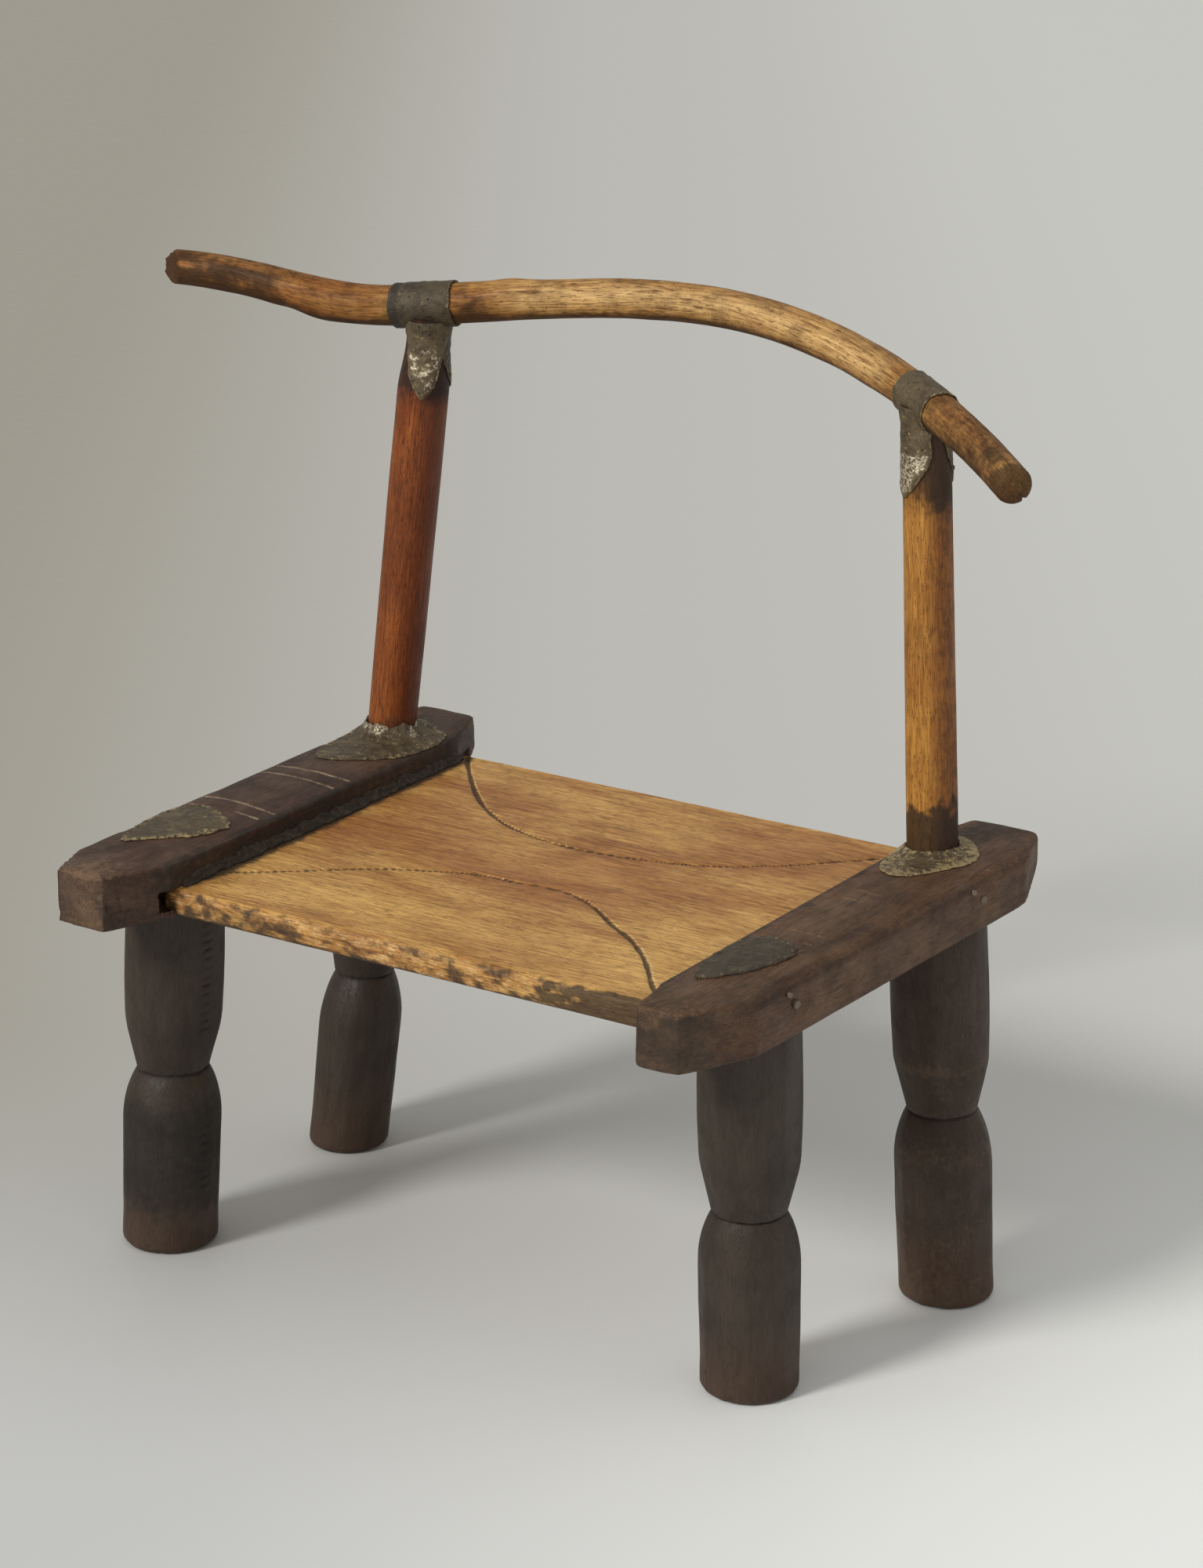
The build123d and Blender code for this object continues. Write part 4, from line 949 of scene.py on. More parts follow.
# ---------------------------------------------------------------- seat plank
REAR_LINE = [(-176, 151), (-146, 114), (-117, 83), (-88, 61), (-64, 50), (-38, 44), (-10, 42.6), (13, 45),
             (34, 49), (60, 56), (82, 66), (99, 78), (114, 89), (128, 104), (142, 118), (154, 131)]
FRONT_LINE = [(-175, -116), (-133, -84), (-90, -52), (-72, -43), (-54, -35), (-33, -29.5), (-10, -28),
              (8, -26), (25, -27), (41, -33), (58, -43), (82, -61), (98, -71), (107, -78), (120, -90),
              (133, -104), (148, -123), (162, -139)]


def carved_route(corners):
    """Fine, even steps along a carved line, with the length so far at each step."""
    corners = np.array(corners, float)
    knots = np.concatenate([[0], np.cumsum(np.hypot(*np.diff(corners, axis=0).T))])
    steps = np.arange(0, knots[-1], 0.8)
    return smooth_line(knots, corners)(steps), steps


def nearest_on(route, points, batch=4000):
    """Distance from each point to a route, and which step is nearest."""
    best = np.zeros(len(points))
    which = np.zeros(len(points), int)
    for start in range(0, len(points), batch):
        rows = slice(start, start + batch)
        square = ((points[rows, None, :] - route[None])**2).sum(axis=-1)
        which[rows] = square.argmin(axis=1)
        best[rows] = np.sqrt(square.min(axis=1))
    return best, which


def carving(points, corners, cut_start, cut_end, seed):
    """Depth of a carved line: one clean V at one end, then separate nicks of a chisel's corner."""
    route, steps = carved_route(corners)
    depth = np.zeros(len(points))
    low, high = route.min(axis=0) - 6, route.max(axis=0) + 6
    inside = ((points[:, :2] > low) & (points[:, :2] < high)).all(axis=1)
    inside &= points[:, 2] > SEAT_TOP - 3
    near = np.flatnonzero(inside)
    distance, which = nearest_on(route, points[near, :2])
    s = steps[which]
    lengthwise = np.stack([s, s * 0, s * 0], axis=-1)
    wobble = lumps(lengthwise, 9.0, seed)
    pitch = 4.6 + 0.5 * lumps(lengthwise, 60.0, seed + 2)
    nick = np.abs(((s / pitch) % 1) - 0.5) * 2
    clean = eased(s, cut_start[0], cut_start[1]) if cut_start else 0.0
    clean = np.maximum(clean, eased(s, cut_end[0], cut_end[1]) if cut_end else 0.0)
    half = (2.3 + 0.35 * wobble) * (clean + (1 - clean) * (0.55 + 0.6 * (1 - nick)))
    deep = (1.7 + 0.3 * wobble) * (clean + (1 - clean) * (0.25 + 0.75 * (1 - nick**2)))
    depth[near] = unit(1 - distance / half) * deep
    return depth


PLANK_CORNER = -188.2         # how far the plank's whole front left corner enters its rail


def make_plank(seed):
    """Plank with worn round front edge, thinner tongues at its ends and two carved lines on its face."""
    front, rear = -PLANK_HALF_DEPTH, PLANK_HALF_DEPTH
    top = np.arange(rear - 3.0, front + 6.0, -1.85)
    quarter = np.radians(np.linspace(0, 90, 7))
    sine, cosine = np.sin(quarter), np.cos(quarter)
    bottom = np.arange(front + 6.0, rear - 3.0, 6.0)
    section = np.concatenate([
        [(y, SEAT_TOP) for y in top],
        np.stack([front + 6 - 6 * sine, SEAT_TOP - 6 + 6 * cosine], axis=-1),
        [(front, z) for z in np.arange(SEAT_TOP - 7.2, SEAT_BOTTOM + 4.5, -1.2)],
        np.stack([front + 4 - 4 * cosine, SEAT_BOTTOM + 4 - 4 * sine], axis=-1),
        [(y, SEAT_BOTTOM) for y in bottom],
        np.stack([rear - 2 + 2 * cosine, SEAT_BOTTOM + 2 - 2 * sine], axis=-1)[::-1],
        [(rear, z) for z in np.arange(SEAT_BOTTOM + 3.0, SEAT_TOP - 3.5, 2.0)],
        np.stack([rear - 3 + 3 * sine, SEAT_TOP - 3 + 3 * cosine], axis=-1)[::-1]])
    stations = np.concatenate([
        [-PLANK_HALF_WIDTH, PLANK_CORNER - 0.15, PLANK_CORNER, PLANK_CORNER + 1.4, -183, -180, -178.2],
        np.arange(-INNER_FACE + 0.3, INNER_FACE, 1.85),
        [INNER_FACE + 0.2, PLANK_HALF_WIDTH - 6, PLANK_HALF_WIDTH]])
    points = np.empty((len(stations), len(section), 3))
    points[..., 0] = stations[:, None]
    points[..., 1:] = section[None]
    whole_corner = (points[..., 0] > PLANK_CORNER - 0.05) & (points[..., 0] < 0)
    whole_corner &= points[..., 1] < front + 10
    tongue = (np.abs(points[..., 0]) > INNER_FACE) & ~whole_corner
    points[..., 2] = np.where(tongue, np.maximum(points[..., 2], TONGUE_BOTTOM), points[..., 2])
    shorter = PLANK_HALF_DEPTH - 6
    points[..., 1] = np.where(tongue, np.clip(points[..., 1], -shorter, shorter), points[..., 1])
    in_rail = whole_corner & (points[..., 0] < -INNER_FACE)
    points[..., 2] = np.where(in_rail, np.maximum(points[..., 2], SEAT_BOTTOM + 2.3), points[..., 2])
    made = piece_from("carved_seat_plank", closed_ends(points), ring_faces(*points.shape[:2]))
    mesh = made.data
    refined(mesh, near_carving, 2, weld=0.002)
    place = points_of(mesh)
    top_face = (place[:, 2] > SEAT_TOP - 0.01) & (np.abs(place[:, 0]) < INNER_FACE)
    moved = place.copy()
    deep = carved_depth(place, seed)
    bruised = unit(carved_depth(place - (1.7, 0.3, 0), seed) - 2 * deep) * top_face
    hollow = 0.5 * spot(place[:, :2], (0, 0), (150, 120)) + 0.2
    uneven = (layered(place, (60, 30, 60), seed + 2, 4) + 1) * 0.16
    moved[:, 2] -= np.where(top_face, deep + hollow + uneven, 0)
    shown = (place[:, 0] > PLANK_CORNER - 0.05) & (place[:, 0] < INNER_FACE)
    front_edge = eased(place[:, 1], front + 12, front) * shown
    chip = unit(layered(place, (14, 5, 6), seed + 5) - 0.05) * 1.5
    chip = chip + 0.25 * (lumps(place, (26, 20, 7), seed) + 1)
    moved[:, 1] += front_edge * chip * np.where(place[:, 2] > SEAT_BOTTOM + 0.5, 1.0, 0.3)
    worn = (lumps(place, (40, 30, 30), seed + 6) + 1) * 0.6
    moved[:, 2] -= front_edge * worn * (place[:, 2] > SEAT_TOP - 7)
    corner = eased(place[:, 0], PLANK_CORNER + 5, PLANK_CORNER) * eased(place[:, 1], front + 9, front)
    moved[:, 1] += corner * 1.6 * shown
    moved[:, 2] -= corner * 1.2 * shown * (place[:, 2] > SEAT_TOP - 4)
    rear_edge = eased(place[:, 1], rear - 6, rear) * (np.abs(place[:, 0]) < INNER_FACE)
    moved[:, 1] -= rear_edge * (lumps(place, (24, 20, 20), seed + 8) + 1) * 0.5
    set_points(mesh, moved)
    marked(mesh, "grain", place[:, [1, 2, 0]] * MM)
    paint_plank(made, place, deep, bruised, top_face, seed)
    return finished(made, "seat_wood", FINISH["seat"], "seat_plank")


def carved_depth(place, seed):
    """Depth of both carved lines; the rear one is clean at its start and the front one at its end."""
    rear = carving(place, REAR_LINE, (150, 60), None, seed)
    return rear + carving(place, FRONT_LINE, None, (235, 300), seed + 1)


def near_carving(place):
    """Which places on the plank's top lie beside a carved line."""
    close = np.zeros(len(place), bool)
    rows = np.flatnonzero((place[:, 2] > SEAT_TOP - 1) & (np.abs(place[:, 0]) < INNER_FACE + 3))
    for corners in (REAR_LINE, FRONT_LINE):
        distance = nearest_on(carved_route(corners)[0], place[rows, :2])[0]
        close[rows[distance < 3.6]] = True
    return close


def paint_plank(made, place, deep, bruised, top_face, seed):
    """Pale and red wood, worn edges and burnt places of the seat, with painted shade underneath and beside the
    rails.
    """
    x, y, z = place.T

    def patch(x, y, reach_x, reach_y):
        return spot(place[:, :2], (x, y), (reach_x, reach_y))

    front_face = eased(y, -PLANK_HALF_DEPTH + 6, -PLANK_HALF_DEPTH + 1)
    broad = layered(place, (90, 45, 60), seed + 11)
    pale = patch(-110, -105, 110, 55) * 0.8 + patch(30, -112, 150, 42) * 0.75
    pale += patch(140, -60, 60, 90) * 0.7 + patch(150, -110, 60, 50) * 0.6
    red = patch(0, 0, 150, 55) * 0.55 + patch(-140, 50, 60, 100) * 0.6
    red += patch(10, -40, 120, 30) * 0.3 + patch(100, 90, 130, 70) * 0.4 + unit(broad) * 0.5
    red = unit(red - 0.6 * pale)
    wear = bruised * 0.8 + eased(y, -150, -154.5) * 0.5 + 0.15 * unit(-broad) + 0.12 * pale
    burnt = unit(layered(place, (7, 7, 3.2), seed + 14) * 1.7 + 0.34) * 0.72 * front_face
    lower_half = 0.12 * eased(z, 257, 249)
    burnt = burnt + front_face * (0.28 * eased(x, -70, -110) + 0.36 * eased(x, 60, 110) + lower_half)
    burnt = burnt * (0.75 + 0.5 * eased(x, -40, 160))
    # painted shade on the plank's underside
    shaded_plank_bottom = eased(z, SEAT_BOTTOM + 3, SEAT_BOTTOM)
    soot = burnt * 1.1 + unit(deep) * 0.9 + shaded_plank_bottom * 0.5
    # painted shade on the plank's top beside both rails, wider at the front left
    ragged_rail_shade = x + 3.5 * layered(place, (14, 14, 14), seed + 17)
    soot += eased(ragged_rail_shade, -INNER_FACE + 15, -INNER_FACE + 4) * 0.8 * top_face * eased(y, -150, -110)
    soot += eased(x, -INNER_FACE + 8, -INNER_FACE + 2) * 0.5 * top_face
    soot += eased(x, INNER_FACE - 10, INNER_FACE - 1) * 0.45 * top_face
    soot += patch(150, -157, 40, 9) * 0.6
    set_marks(made, wear=wear * (1 - 0.6 * burnt), soot=soot, red=red * (1 - front_face), pale=pale,
              soot_depth=0.85)


# ---------------------------------------------------------------- side rails
RAIL_LINES = {
    "left": [((-243, 27), (-183, 29)), ((-243, 12), (-183, 12)), ((-245.5, -46), (-184, -49)),
             ((-247, -63), (-186, -63))],
    "right": [((190, 15), (211, 12)), ((194, 31), (213, 27)), ((184, -48), (221.5, -51.5)),
              ((186, -63), (222, -66))],
}


def remeshed_copy(cad, name, voxel):
    """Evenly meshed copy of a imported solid, ready to be carved."""
    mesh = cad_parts[cad].data.copy()
    mesh.name = name
    reworked(mesh, lambda work: bmesh.ops.remove_doubles(work, verts=work.verts, dist=2e-6))
    made = linked(name, mesh)
    modifier = made.modifiers.new("even", "REMESH")
    modifier.mode = "VOXEL"
    modifier.voxel_size = voxel * MM
    modifier.adaptivity = 0.0
    even = bpy.data.meshes.new_from_object(made.evaluated_get(bpy.context.evaluated_depsgraph_get()))
    made.modifiers.clear()
    made.data = even
    even.name = name
    even.materials.clear()
    even.shade_smooth()
    return made


def smoothed(mesh, points, weight, rounds):
    """Relaxes points towards their neighbours, as much as their weight says."""
    pairs = np.zeros(len(mesh.edges) * 2, int)
    mesh.edges.foreach_get("vertices", pairs)
    a, b = pairs.reshape(-1, 2).T
    count = np.bincount(a, minlength=len(points)) + np.bincount(b, minlength=len(points))
    for _ in range(rounds):
        total = np.stack([
            np.bincount(a, points[b, k], len(points)) + np.bincount(b, points[a, k], len(points))
            for k in range(3)], axis=-1)
        middle = total / np.maximum(count, 1)[:, None]
        points = points + (middle - points) * weight[:, None]
    return points


def line_distance(place, side):
    """Distance from each place to the nearest line cut across a rail's top."""
    nearest = np.full(len(place), 1e9)
    for start, end in RAIL_LINES[side]:
        start, end = np.array(start, float), np.array(end, float)
        along = end - start
        share = unit((place[:, :2] - start) @ along / (along @ along))
        nearest = np.minimum(nearest, np.hypot(*(place[:, :2] - start - share[:, None] * along).T))
    return nearest


def make_rail(side, seed):
    """Side rail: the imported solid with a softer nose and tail, knife work, cracks and lines cut across it."""
    outward = OUTWARD[side]
    softer_nose, softer_outer = (0.36, 0.3) if side == "left" else (0.16, 0.08)
    made = remeshed_copy(side + "_rail", side + "_rail_wood", 1.35)
    mesh = made.data
    refined(mesh, lambda place: (line_distance(place, side) < 3.0) & (place[:, 2] > RAIL_TOP - 6), 1)
    place = points_of(mesh)
    normal = normals_of(mesh)
    inset = outward * place[:, 0] - INNER_FACE
    y, z = place[:, 1], place[:, 2]
    nose = eased(y, RAIL_FRONT + 50, RAIL_FRONT + 6)
    tail = eased(y, RAIL_REAR - 45, RAIL_REAR - 5)
    width = rail_width(side, y)
    outer = eased(inset, width - 7, width - 1)
    in_groove = (inset < GROOVE_DEPTH) & (z > TONGUE_BOTTOM - 1) & (z < SEAT_TOP + 1) & (y > GROOVE_FRONT)
    shown = (inset > 0.6) & ~in_groove
    shown = shown | (y < -176)
    relax = np.clip(0.12 + softer_nose * nose + 0.3 * tail + softer_outer * outer, 0, 0.5)
    points = smoothed(mesh, place, relax * shown, 12)
    if side == "right":
        points[:, 0] -= 6 * eased(y, -162, -200) * eased(inset, 40, 16)
    if side == "left":
        mouth = in_groove * eased(y, -146, -150) * eased(y, GROOVE_FRONT, GROOVE_FRONT + 6)
        points[:, 2] -= mouth * eased(z, TONGUE_BOTTOM + 1.2, TONGUE_BOTTOM) * 4.7
        points[:, 0] -= mouth * eased(inset, 10, 12) * 4.5
    covered = sheet_cover(place, side)
    dent = layered(place, (18, 34, 14), seed) * 0.3
    knife = unit(lumps(place, (9, 26, 9), seed + 1) - 0.2) * 0.7
    at_ends = np.maximum(nose * (normal[:, 1] < -0.3), tail * (normal[:, 1] > 0.3))
    rough_ends = unit(layered(place, (6, 6, 5), seed + 2) - 0.1) * 1.3 * at_ends
    cracks = unit(1 - np.abs(lumps(place, (30, 9, 7), seed + 5)) / 0.09) * nose * (inset < 24) * 1.1
    inward = (dent + knife) * (1 - 0.85 * covered) + rough_ends + cracks * (normal[:, 1] < -0.2)
    worn = eased(z, RAIL_TOP - 8, RAIL_TOP - 3) * outer * (lumps(place, (12, 30, 12), seed + 4) + 1) * 0.5
    cut = unit(1.3 - line_distance(place, side) / 1.1) * (normal[:, 2] > 0.8) * (1 - covered)
    bevel = nose * eased(inset, 30, 44) * eased(-normal[:, 1], 0.25, 0.5)
    bevel = bevel * (normal[:, 1] > -0.9) * (np.abs(normal[:, 2]) < 0.5)
    beside_nails = np.zeros(len(place))
    for middle in nail_heads(side):
        beside_nails = np.maximum(beside_nails, eased(np.linalg.norm(place - middle, axis=1), 15.0, 10.0))
    inward = (inward + worn) * (1 - beside_nails) + 0.8 * beside_nails
    points -= normal * ((inward - (1.8 * bevel if side == "left" else 0)) * shown)[:, None]
    points[:, 2] -= cut
    set_points(mesh, points)
    marked(mesh, "grain", place[:, [0, 2, 1]] * MM)
    paint_rail(made, side, place, normal, inset, width, nose, tail, cut, seed)
    return finished(made, "rail_wood", FINISH[side + "_rail"], side + "_rail")


def nail_heads(side):
    """Middles of the nail heads in a rail's outer face."""
    outward = OUTWARD[side]
    spots = points_of(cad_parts[side + "_rail_nails"].data)
    heads = spots[outward * spots[:, 0] > (outward * spots[:, 0]).max() - 14]
    middles = []
    while len(heads):
        close = np.hypot(*(heads - heads[0])[:, 1:].T) < 6
        middles.append(heads[close][np.argmax(outward * heads[close, 0])])
        heads = heads[~close]
    return middles


def rail_width(side, y):
    """Width of a rail, which changes evenly from front to rear."""
    front, rear = RAIL_WIDTHS[side]
    return front + (rear - front) * (y - RAIL_FRONT) / (RAIL_REAR - RAIL_FRONT)


def rail_crown(side, x, y):
    """Height of a rail's gently rounded top."""
    width = rail_width(side, y)
    bend = (width**2 / 4 + RAIL_CROWN**2) / (2 * RAIL_CROWN)
    from_ridge = np.abs(x) - INNER_FACE - width / 2
    return RAIL_TOP - bend + np.sqrt(np.clip(bend**2 - from_ridge**2, 0, None))


def sheet_cover(place, side):
    """1 where a patch or a collar lies on the rail, so that the wood under it stays level."""
    covered = np.zeros(len(place))
    for name in (f"front_{side}_patch", f"rear_{side}_collar"):
        low, high = (from_frame(list(corner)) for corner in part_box(name))
        middle, half = (low + high) / 2, (high - low) / 2
        away = np.hypot((place[:, 0] - middle[0]) / half[0], (place[:, 1] - middle[1]) / half[1])
        covered = np.maximum(covered, eased(away, 1.25, 1.05) * (place[:, 2] > RAIL_TOP - 8))
    return covered


def paint_rail(made, side, place, normal, inset, width, nose, tail, cut, seed):
    """Rubbed edges, red and pale wood and soot of a rail, with a painted shadow line under its outer top edge
    and painted shade on its inner face above the plank.
    """
    y, z = place[:, 1], place[:, 2]
    top = eased(normal[:, 2], 0.5, 0.9)
    outer_top = eased(inset, width - 10, width - 3) * eased(z, RAIL_TOP - 10, RAIL_TOP - 4)
    edges = 0.3 * outer_top + 0.5 * nose * eased(z, RAIL_TOP - 5, RAIL_TOP - 1)
    patches = layered(place, (30, 70, 20), seed + 7)
    lower_front = nose * eased(z, RAIL_BOTTOM + 14, RAIL_BOTTOM + 2)
    wear = edges + unit(patches) * 0.35 + lower_front * 0.2
    facing_out = eased(normal[:, 0] * OUTWARD[side], 0.4, 0.9)
    red = facing_out * 0.2 * (1 - 0.6 * nose) + 0.6 * unit(patches)
    # painted shadow: a dark line just under the rail's outer top edge
    shadow_under_top_edge = hump(z, RAIL_TOP - 5.5, 2.2) * eased(inset, width - 6, width - 2) * (1 - nose) * (1 - tail)
    if side == "right":
        red += 0.6 * eased(inset, 26, 6) * top * eased(y, -150, -120)
    front_face = eased(-normal[:, 1], 0.75, 0.95) * eased(y, RAIL_FRONT + 6, RAIL_FRONT + 1)
    chamfer = nose * eased(-normal[:, 1], 0.2, 0.5) * (1 - front_face)
    soot = 0.5 * unit(-layered(place, (24, 60, 18), seed + 12) - 0.15) + 0.5 * chamfer * (inset < 24)
    # its second term is painted shade on the rail's inner face above the plank
    soot += 0.55 * tail * eased(normal[:, 1], 0.2, 0.8) + 0.6 * eased(inset, 9, 2) * (z > SEAT_TOP)
    pale = unit(cut) * (1.5 if side == "left" else 0.6) * (0.7 + 0.5 * lumps(place, 5.0, seed + 9))
    pale += 0.08 * tail * eased(normal[:, 1], 0.5, 0.9)
    if side == "right":
        soot += chamfer * (inset > 24) * 0.6 + 0.5 * front_face + 0.15 * nose
        soot += 0.35 * spot(place, (236, -150, RAIL_TOP), (22, 60, 14)) * top
        wear += 0.8 * spot(place, (204, -204, RAIL_TOP - 8), (9, 6, 7)) + 0.25 * front_face * (inset < 30)
        pale += 0.12 * spot(place, (INNER_FACE + 12, -120, RAIL_TOP), (26, 90, 14)) * top
        soot += 1.5 * spot(place, (181.5, -4.5, RAIL_TOP - 2), (9, 5, 9))
        soot += 0.9 * spot(place, (178.6, -51.6, RAIL_TOP), (4, 3, 9))
    else:
        pale += 0.10 * front_face + 0.06 * nose * top
        wear += 0.7 * spot(place, (-208, -204, RAIL_BOTTOM + 10), (14, 8, 12)) + 0.3 * front_face
    # the painted shadow line under the outer top edge
    soot += 0.5 * shadow_under_top_edge
    wear += 0.7 * tail * eased(inset, width - 9, width - 2) * eased(normal[:, 1], 0.15, 0.5)
    set_marks(made, wear=wear, soot=soot, red=red, pale=pale, soot_depth=0.75)


# ---------------------------------------------------------------- resin along the plank's ends
def make_resin(side, seed):
    """Lumpy bead of dark resin in the corner of plank and rail."""
    outward = OUTWARD[side]
    places = np.arange(-148.8, 149.0, 1.3)
    turn = np.radians(np.linspace(2, 88, 13))
    lengthwise = np.stack([places * 0, places, places * 0], axis=-1)
    foot = 3.4 + 1.4 * eased(places, -120, -30) + 1.2 * layered(lengthwise, (9, 16, 9), seed)
    foot = foot + 0.8 * lumps(lengthwise, (9, 4.5, 9), seed + 1)
    rise = 5.8 + 1.6 * layered(lengthwise, (9, 14, 9), seed + 2)
    rise = rise + 0.8 * lumps(lengthwise, (9, 4, 9), seed + 3)
    ends = np.sqrt(np.clip(1 - (np.abs(places) / 149.0)**24, 0.02, 1))     # full up to a blunt end
    across = np.outer(foot * ends, np.cos(turn))
    up = np.outer(rise * ends, np.sin(turn))
    ring = np.stack([across, np.broadcast_to(places[:, None], across.shape), up], axis=-1)
    bumps = 1 + 0.30 * layered(ring, (5, 7, 5), seed + 4)
    across = across * bumps * (0.62 + 0.38 * np.cos(2 * turn)**2)
    up = up * bumps * (0.66 + 0.34 * np.cos(2 * turn)**2)
    across = np.concatenate([across, np.full((len(places), 2), -0.25)], axis=1)
    up = np.concatenate([up, up[:, -1:], np.full((len(places), 1), -0.5)], axis=1)
    up[:, 0] = -0.5
    x = outward * (INNER_FACE - across)
    points = np.stack([x, np.broadcast_to(places[:, None], x.shape), SEAT_TOP + up], axis=-1)
    made = piece_from(side + "_resin_bead", closed_ends(points), ring_faces(*x.shape))
    turned_out(made.data)
    return finished(made, "resin", FINISH["resin"], side + "_resin_seam")


def turned_out(mesh):
    """Makes all faces of a closed mesh point outwards."""
    def turn(work):
        bmesh.ops.remove_doubles(work, verts=work.verts, dist=1e-6)
        bmesh.ops.recalc_face_normals(work, faces=work.faces)

    reworked(mesh, turn)


# ---------------------------------------------------------------- hammered sheet metal
def loop_faces(rings, columns):
    """Quads of a closed skin that runs round both ways, such as a sleeve's outer and inner wall."""
    index = np.arange(rings * columns).reshape(rings, columns)
    beside = np.roll(index, -1, axis=1)
    after = np.roll(index, -1, axis=0)
    both = np.roll(beside, -1, axis=0)
    return np.stack([index, beside, both, after], axis=-1).reshape(-1, 4).tolist()


def crumpled(place, seed, size=1.0):
    """Small dents and folds of hand-hammered sheet, in millimetres."""
    folds = 1 - np.abs(layered(place, 7 * size, seed))
    return layered(place, 4 * size, seed + 3) * 0.34 + (folds - 0.6) * 0.5


def sheet_piece(name, points, faces, rim, shine, soot, node_name):
    """Closed sheet with what its finish reads at each point: rim, shine for painted glints, and soot with
    painted shade.
    """
    made = piece_from(name, points, faces)
    for label, values in (("rim", rim), ("shine", shine), ("soot", soot)):
        marked(made.data, label, unit(values))
    turned_out(made.data)
    return finished(made, "sheet_metal", FINISH["sheet"], node_name)


def branch_skin(s, angle, radius):
    """Places at a distance from the branch's line."""
    across_x, across_y = branch_frames(s)
    out = np.cos(angle)[..., None] * across_x + np.sin(angle)[..., None] * across_y
    return BRANCH_LINE(s) + radius[..., None] * out


SLEEVES = {      # from the joint to the tube's ends along the branch, and to the step of its overlap
    "left": (-24.5, 17.5, -17.5), "right": (-19.5, 20.0, 40.0)}


def make_sleeve(side, seed):
    """Sheet tube bent round the branch, with a ragged rim and an overlapping seam."""
    start, end, overlap = SLEEVES[side]
    joint = BRANCH_KNOTS[JOINT_STATION[side]]
    angle = all_round(110)
    circle = on_round(14, angle, 0 * angle)
    ragged_low = start + 0.8 * layered(circle, 7.0, seed) + 0.35 * lumps(circle, 2.0, seed + 1)
    ragged_high = end + 0.9 * layered(circle, 7.0, seed + 2) + 0.35 * lumps(circle, 2.0, seed + 3)
    shares = np.concatenate([[0, 0.008, 0.02], np.linspace(0.04, 0.96, 46), [0.98, 0.992, 1]])
    along = ragged_low + (ragged_high - ragged_low) * shares[:, None]
    turned = np.broadcast_to(angle, along.shape)
    girth = branch_girth(joint + along)
    place = on_round(14, turned, along)
    dents = crumpled(place, seed + 5)
    lift = 0.15 + SHEET + 0.1 + np.clip(dents, -0.25, 0.5) + 0.45 * eased(along, overlap, overlap + 0.5)
    below = unit(-np.sin(turned))**2
    lift = lift + 0.5 * below * (lumps(place, 5.0, seed + 6) + 0.6)
    outer = branch_skin(joint + along, turned, girth + lift)
    inner_rows = along[::-8]
    inner = branch_skin(joint + inner_rows, np.broadcast_to(angle, inner_rows.shape),
                        branch_girth(joint + inner_rows) + 0.12)
    points = np.concatenate([outer, inner]).reshape(-1, 3)
    edge = np.minimum(along - ragged_low, ragged_high - along)
    rim = eased(edge, 2.2, 0.3) * 0.55
    # painted glints on the sleeve: bright spots at the seam, the front and the rim
    if side == "left":
        shine = hump(along, overlap + 0.4, 0.7) * 0.4
        front = spot(place, (0, -14, 12), (14, 9, 7))
        shine += front * 0.65 * (dents > 0.02) + hump(along, end - 2.5, 1.6) * 0.3
    else:
        shine = hump(along, end - 0.6, 0.6) * 0.5
    shine = shine + unit(dents - 0.25) * 0.8
    # the below term is painted shade under the sleeve
    soot = (0.55 if side == "left" else 0.0) + 0.35 * below
    soot = soot + 0.5 * eased(along, overlap + 0.6, overlap - 2) * (overlap < 0)
    rest = np.zeros(inner.shape[:2])
    rim, shine = (np.concatenate([values, rest]).ravel() for values in (rim, shine))
    soot = np.concatenate([soot, rest + 0.6]).ravel()
    return sheet_piece(side + "_sleeve_tube", points, loop_faces(len(outer) + len(inner), len(angle)),
                       rim, shine, soot, side + "_sleeve")


NECK = 15.0      # about the radius of a post where its straps lie
STRAPS = {       # direction the strap hangs on, and its half width in degrees at heights down the post
    ("left", "front"): (-58, [(560.5, 88), (554, 80), (550, 62), (538, 50), (527, 37), (517, 21),
                              (510.5, 2)]),
    ("left", "rear"): (72, [(560.5, 96), (545, 88), (534, 80), (526, 66), (518, 44), (511, 3)]),
    ("right", "front"): (-122, [(558.5, 84), (550, 76), (538, 72), (530, 75), (523, 61), (517, 44), (510, 27),
                                (503.5, 2)]),
    ("right", "rear"): (70, [(556.5, 96), (540, 84), (529, 74), (520, 52), (511, 26), (504, 3)]),
}


def post_skin(side, z, angle, lift):
    """Places that lie `lift` outside a post's surface."""
    foot, lean, _ = post_line(side)
    s = z - foot[2]
    r = post_girth(side, s) + lift
    return foot + s[..., None] * lean + r[..., None] * on_round(1, angle, 0 * angle)


def strap_shape(side, end):
    """Direction a strap hangs on, its top and bottom, and its half width in degrees at a height."""
    facing, widths = STRAPS[side, end]
    heights, halves = np.array(widths, float).T
    return facing, heights[0], heights[-1], lambda z: np.interp(-z, -heights, halves)


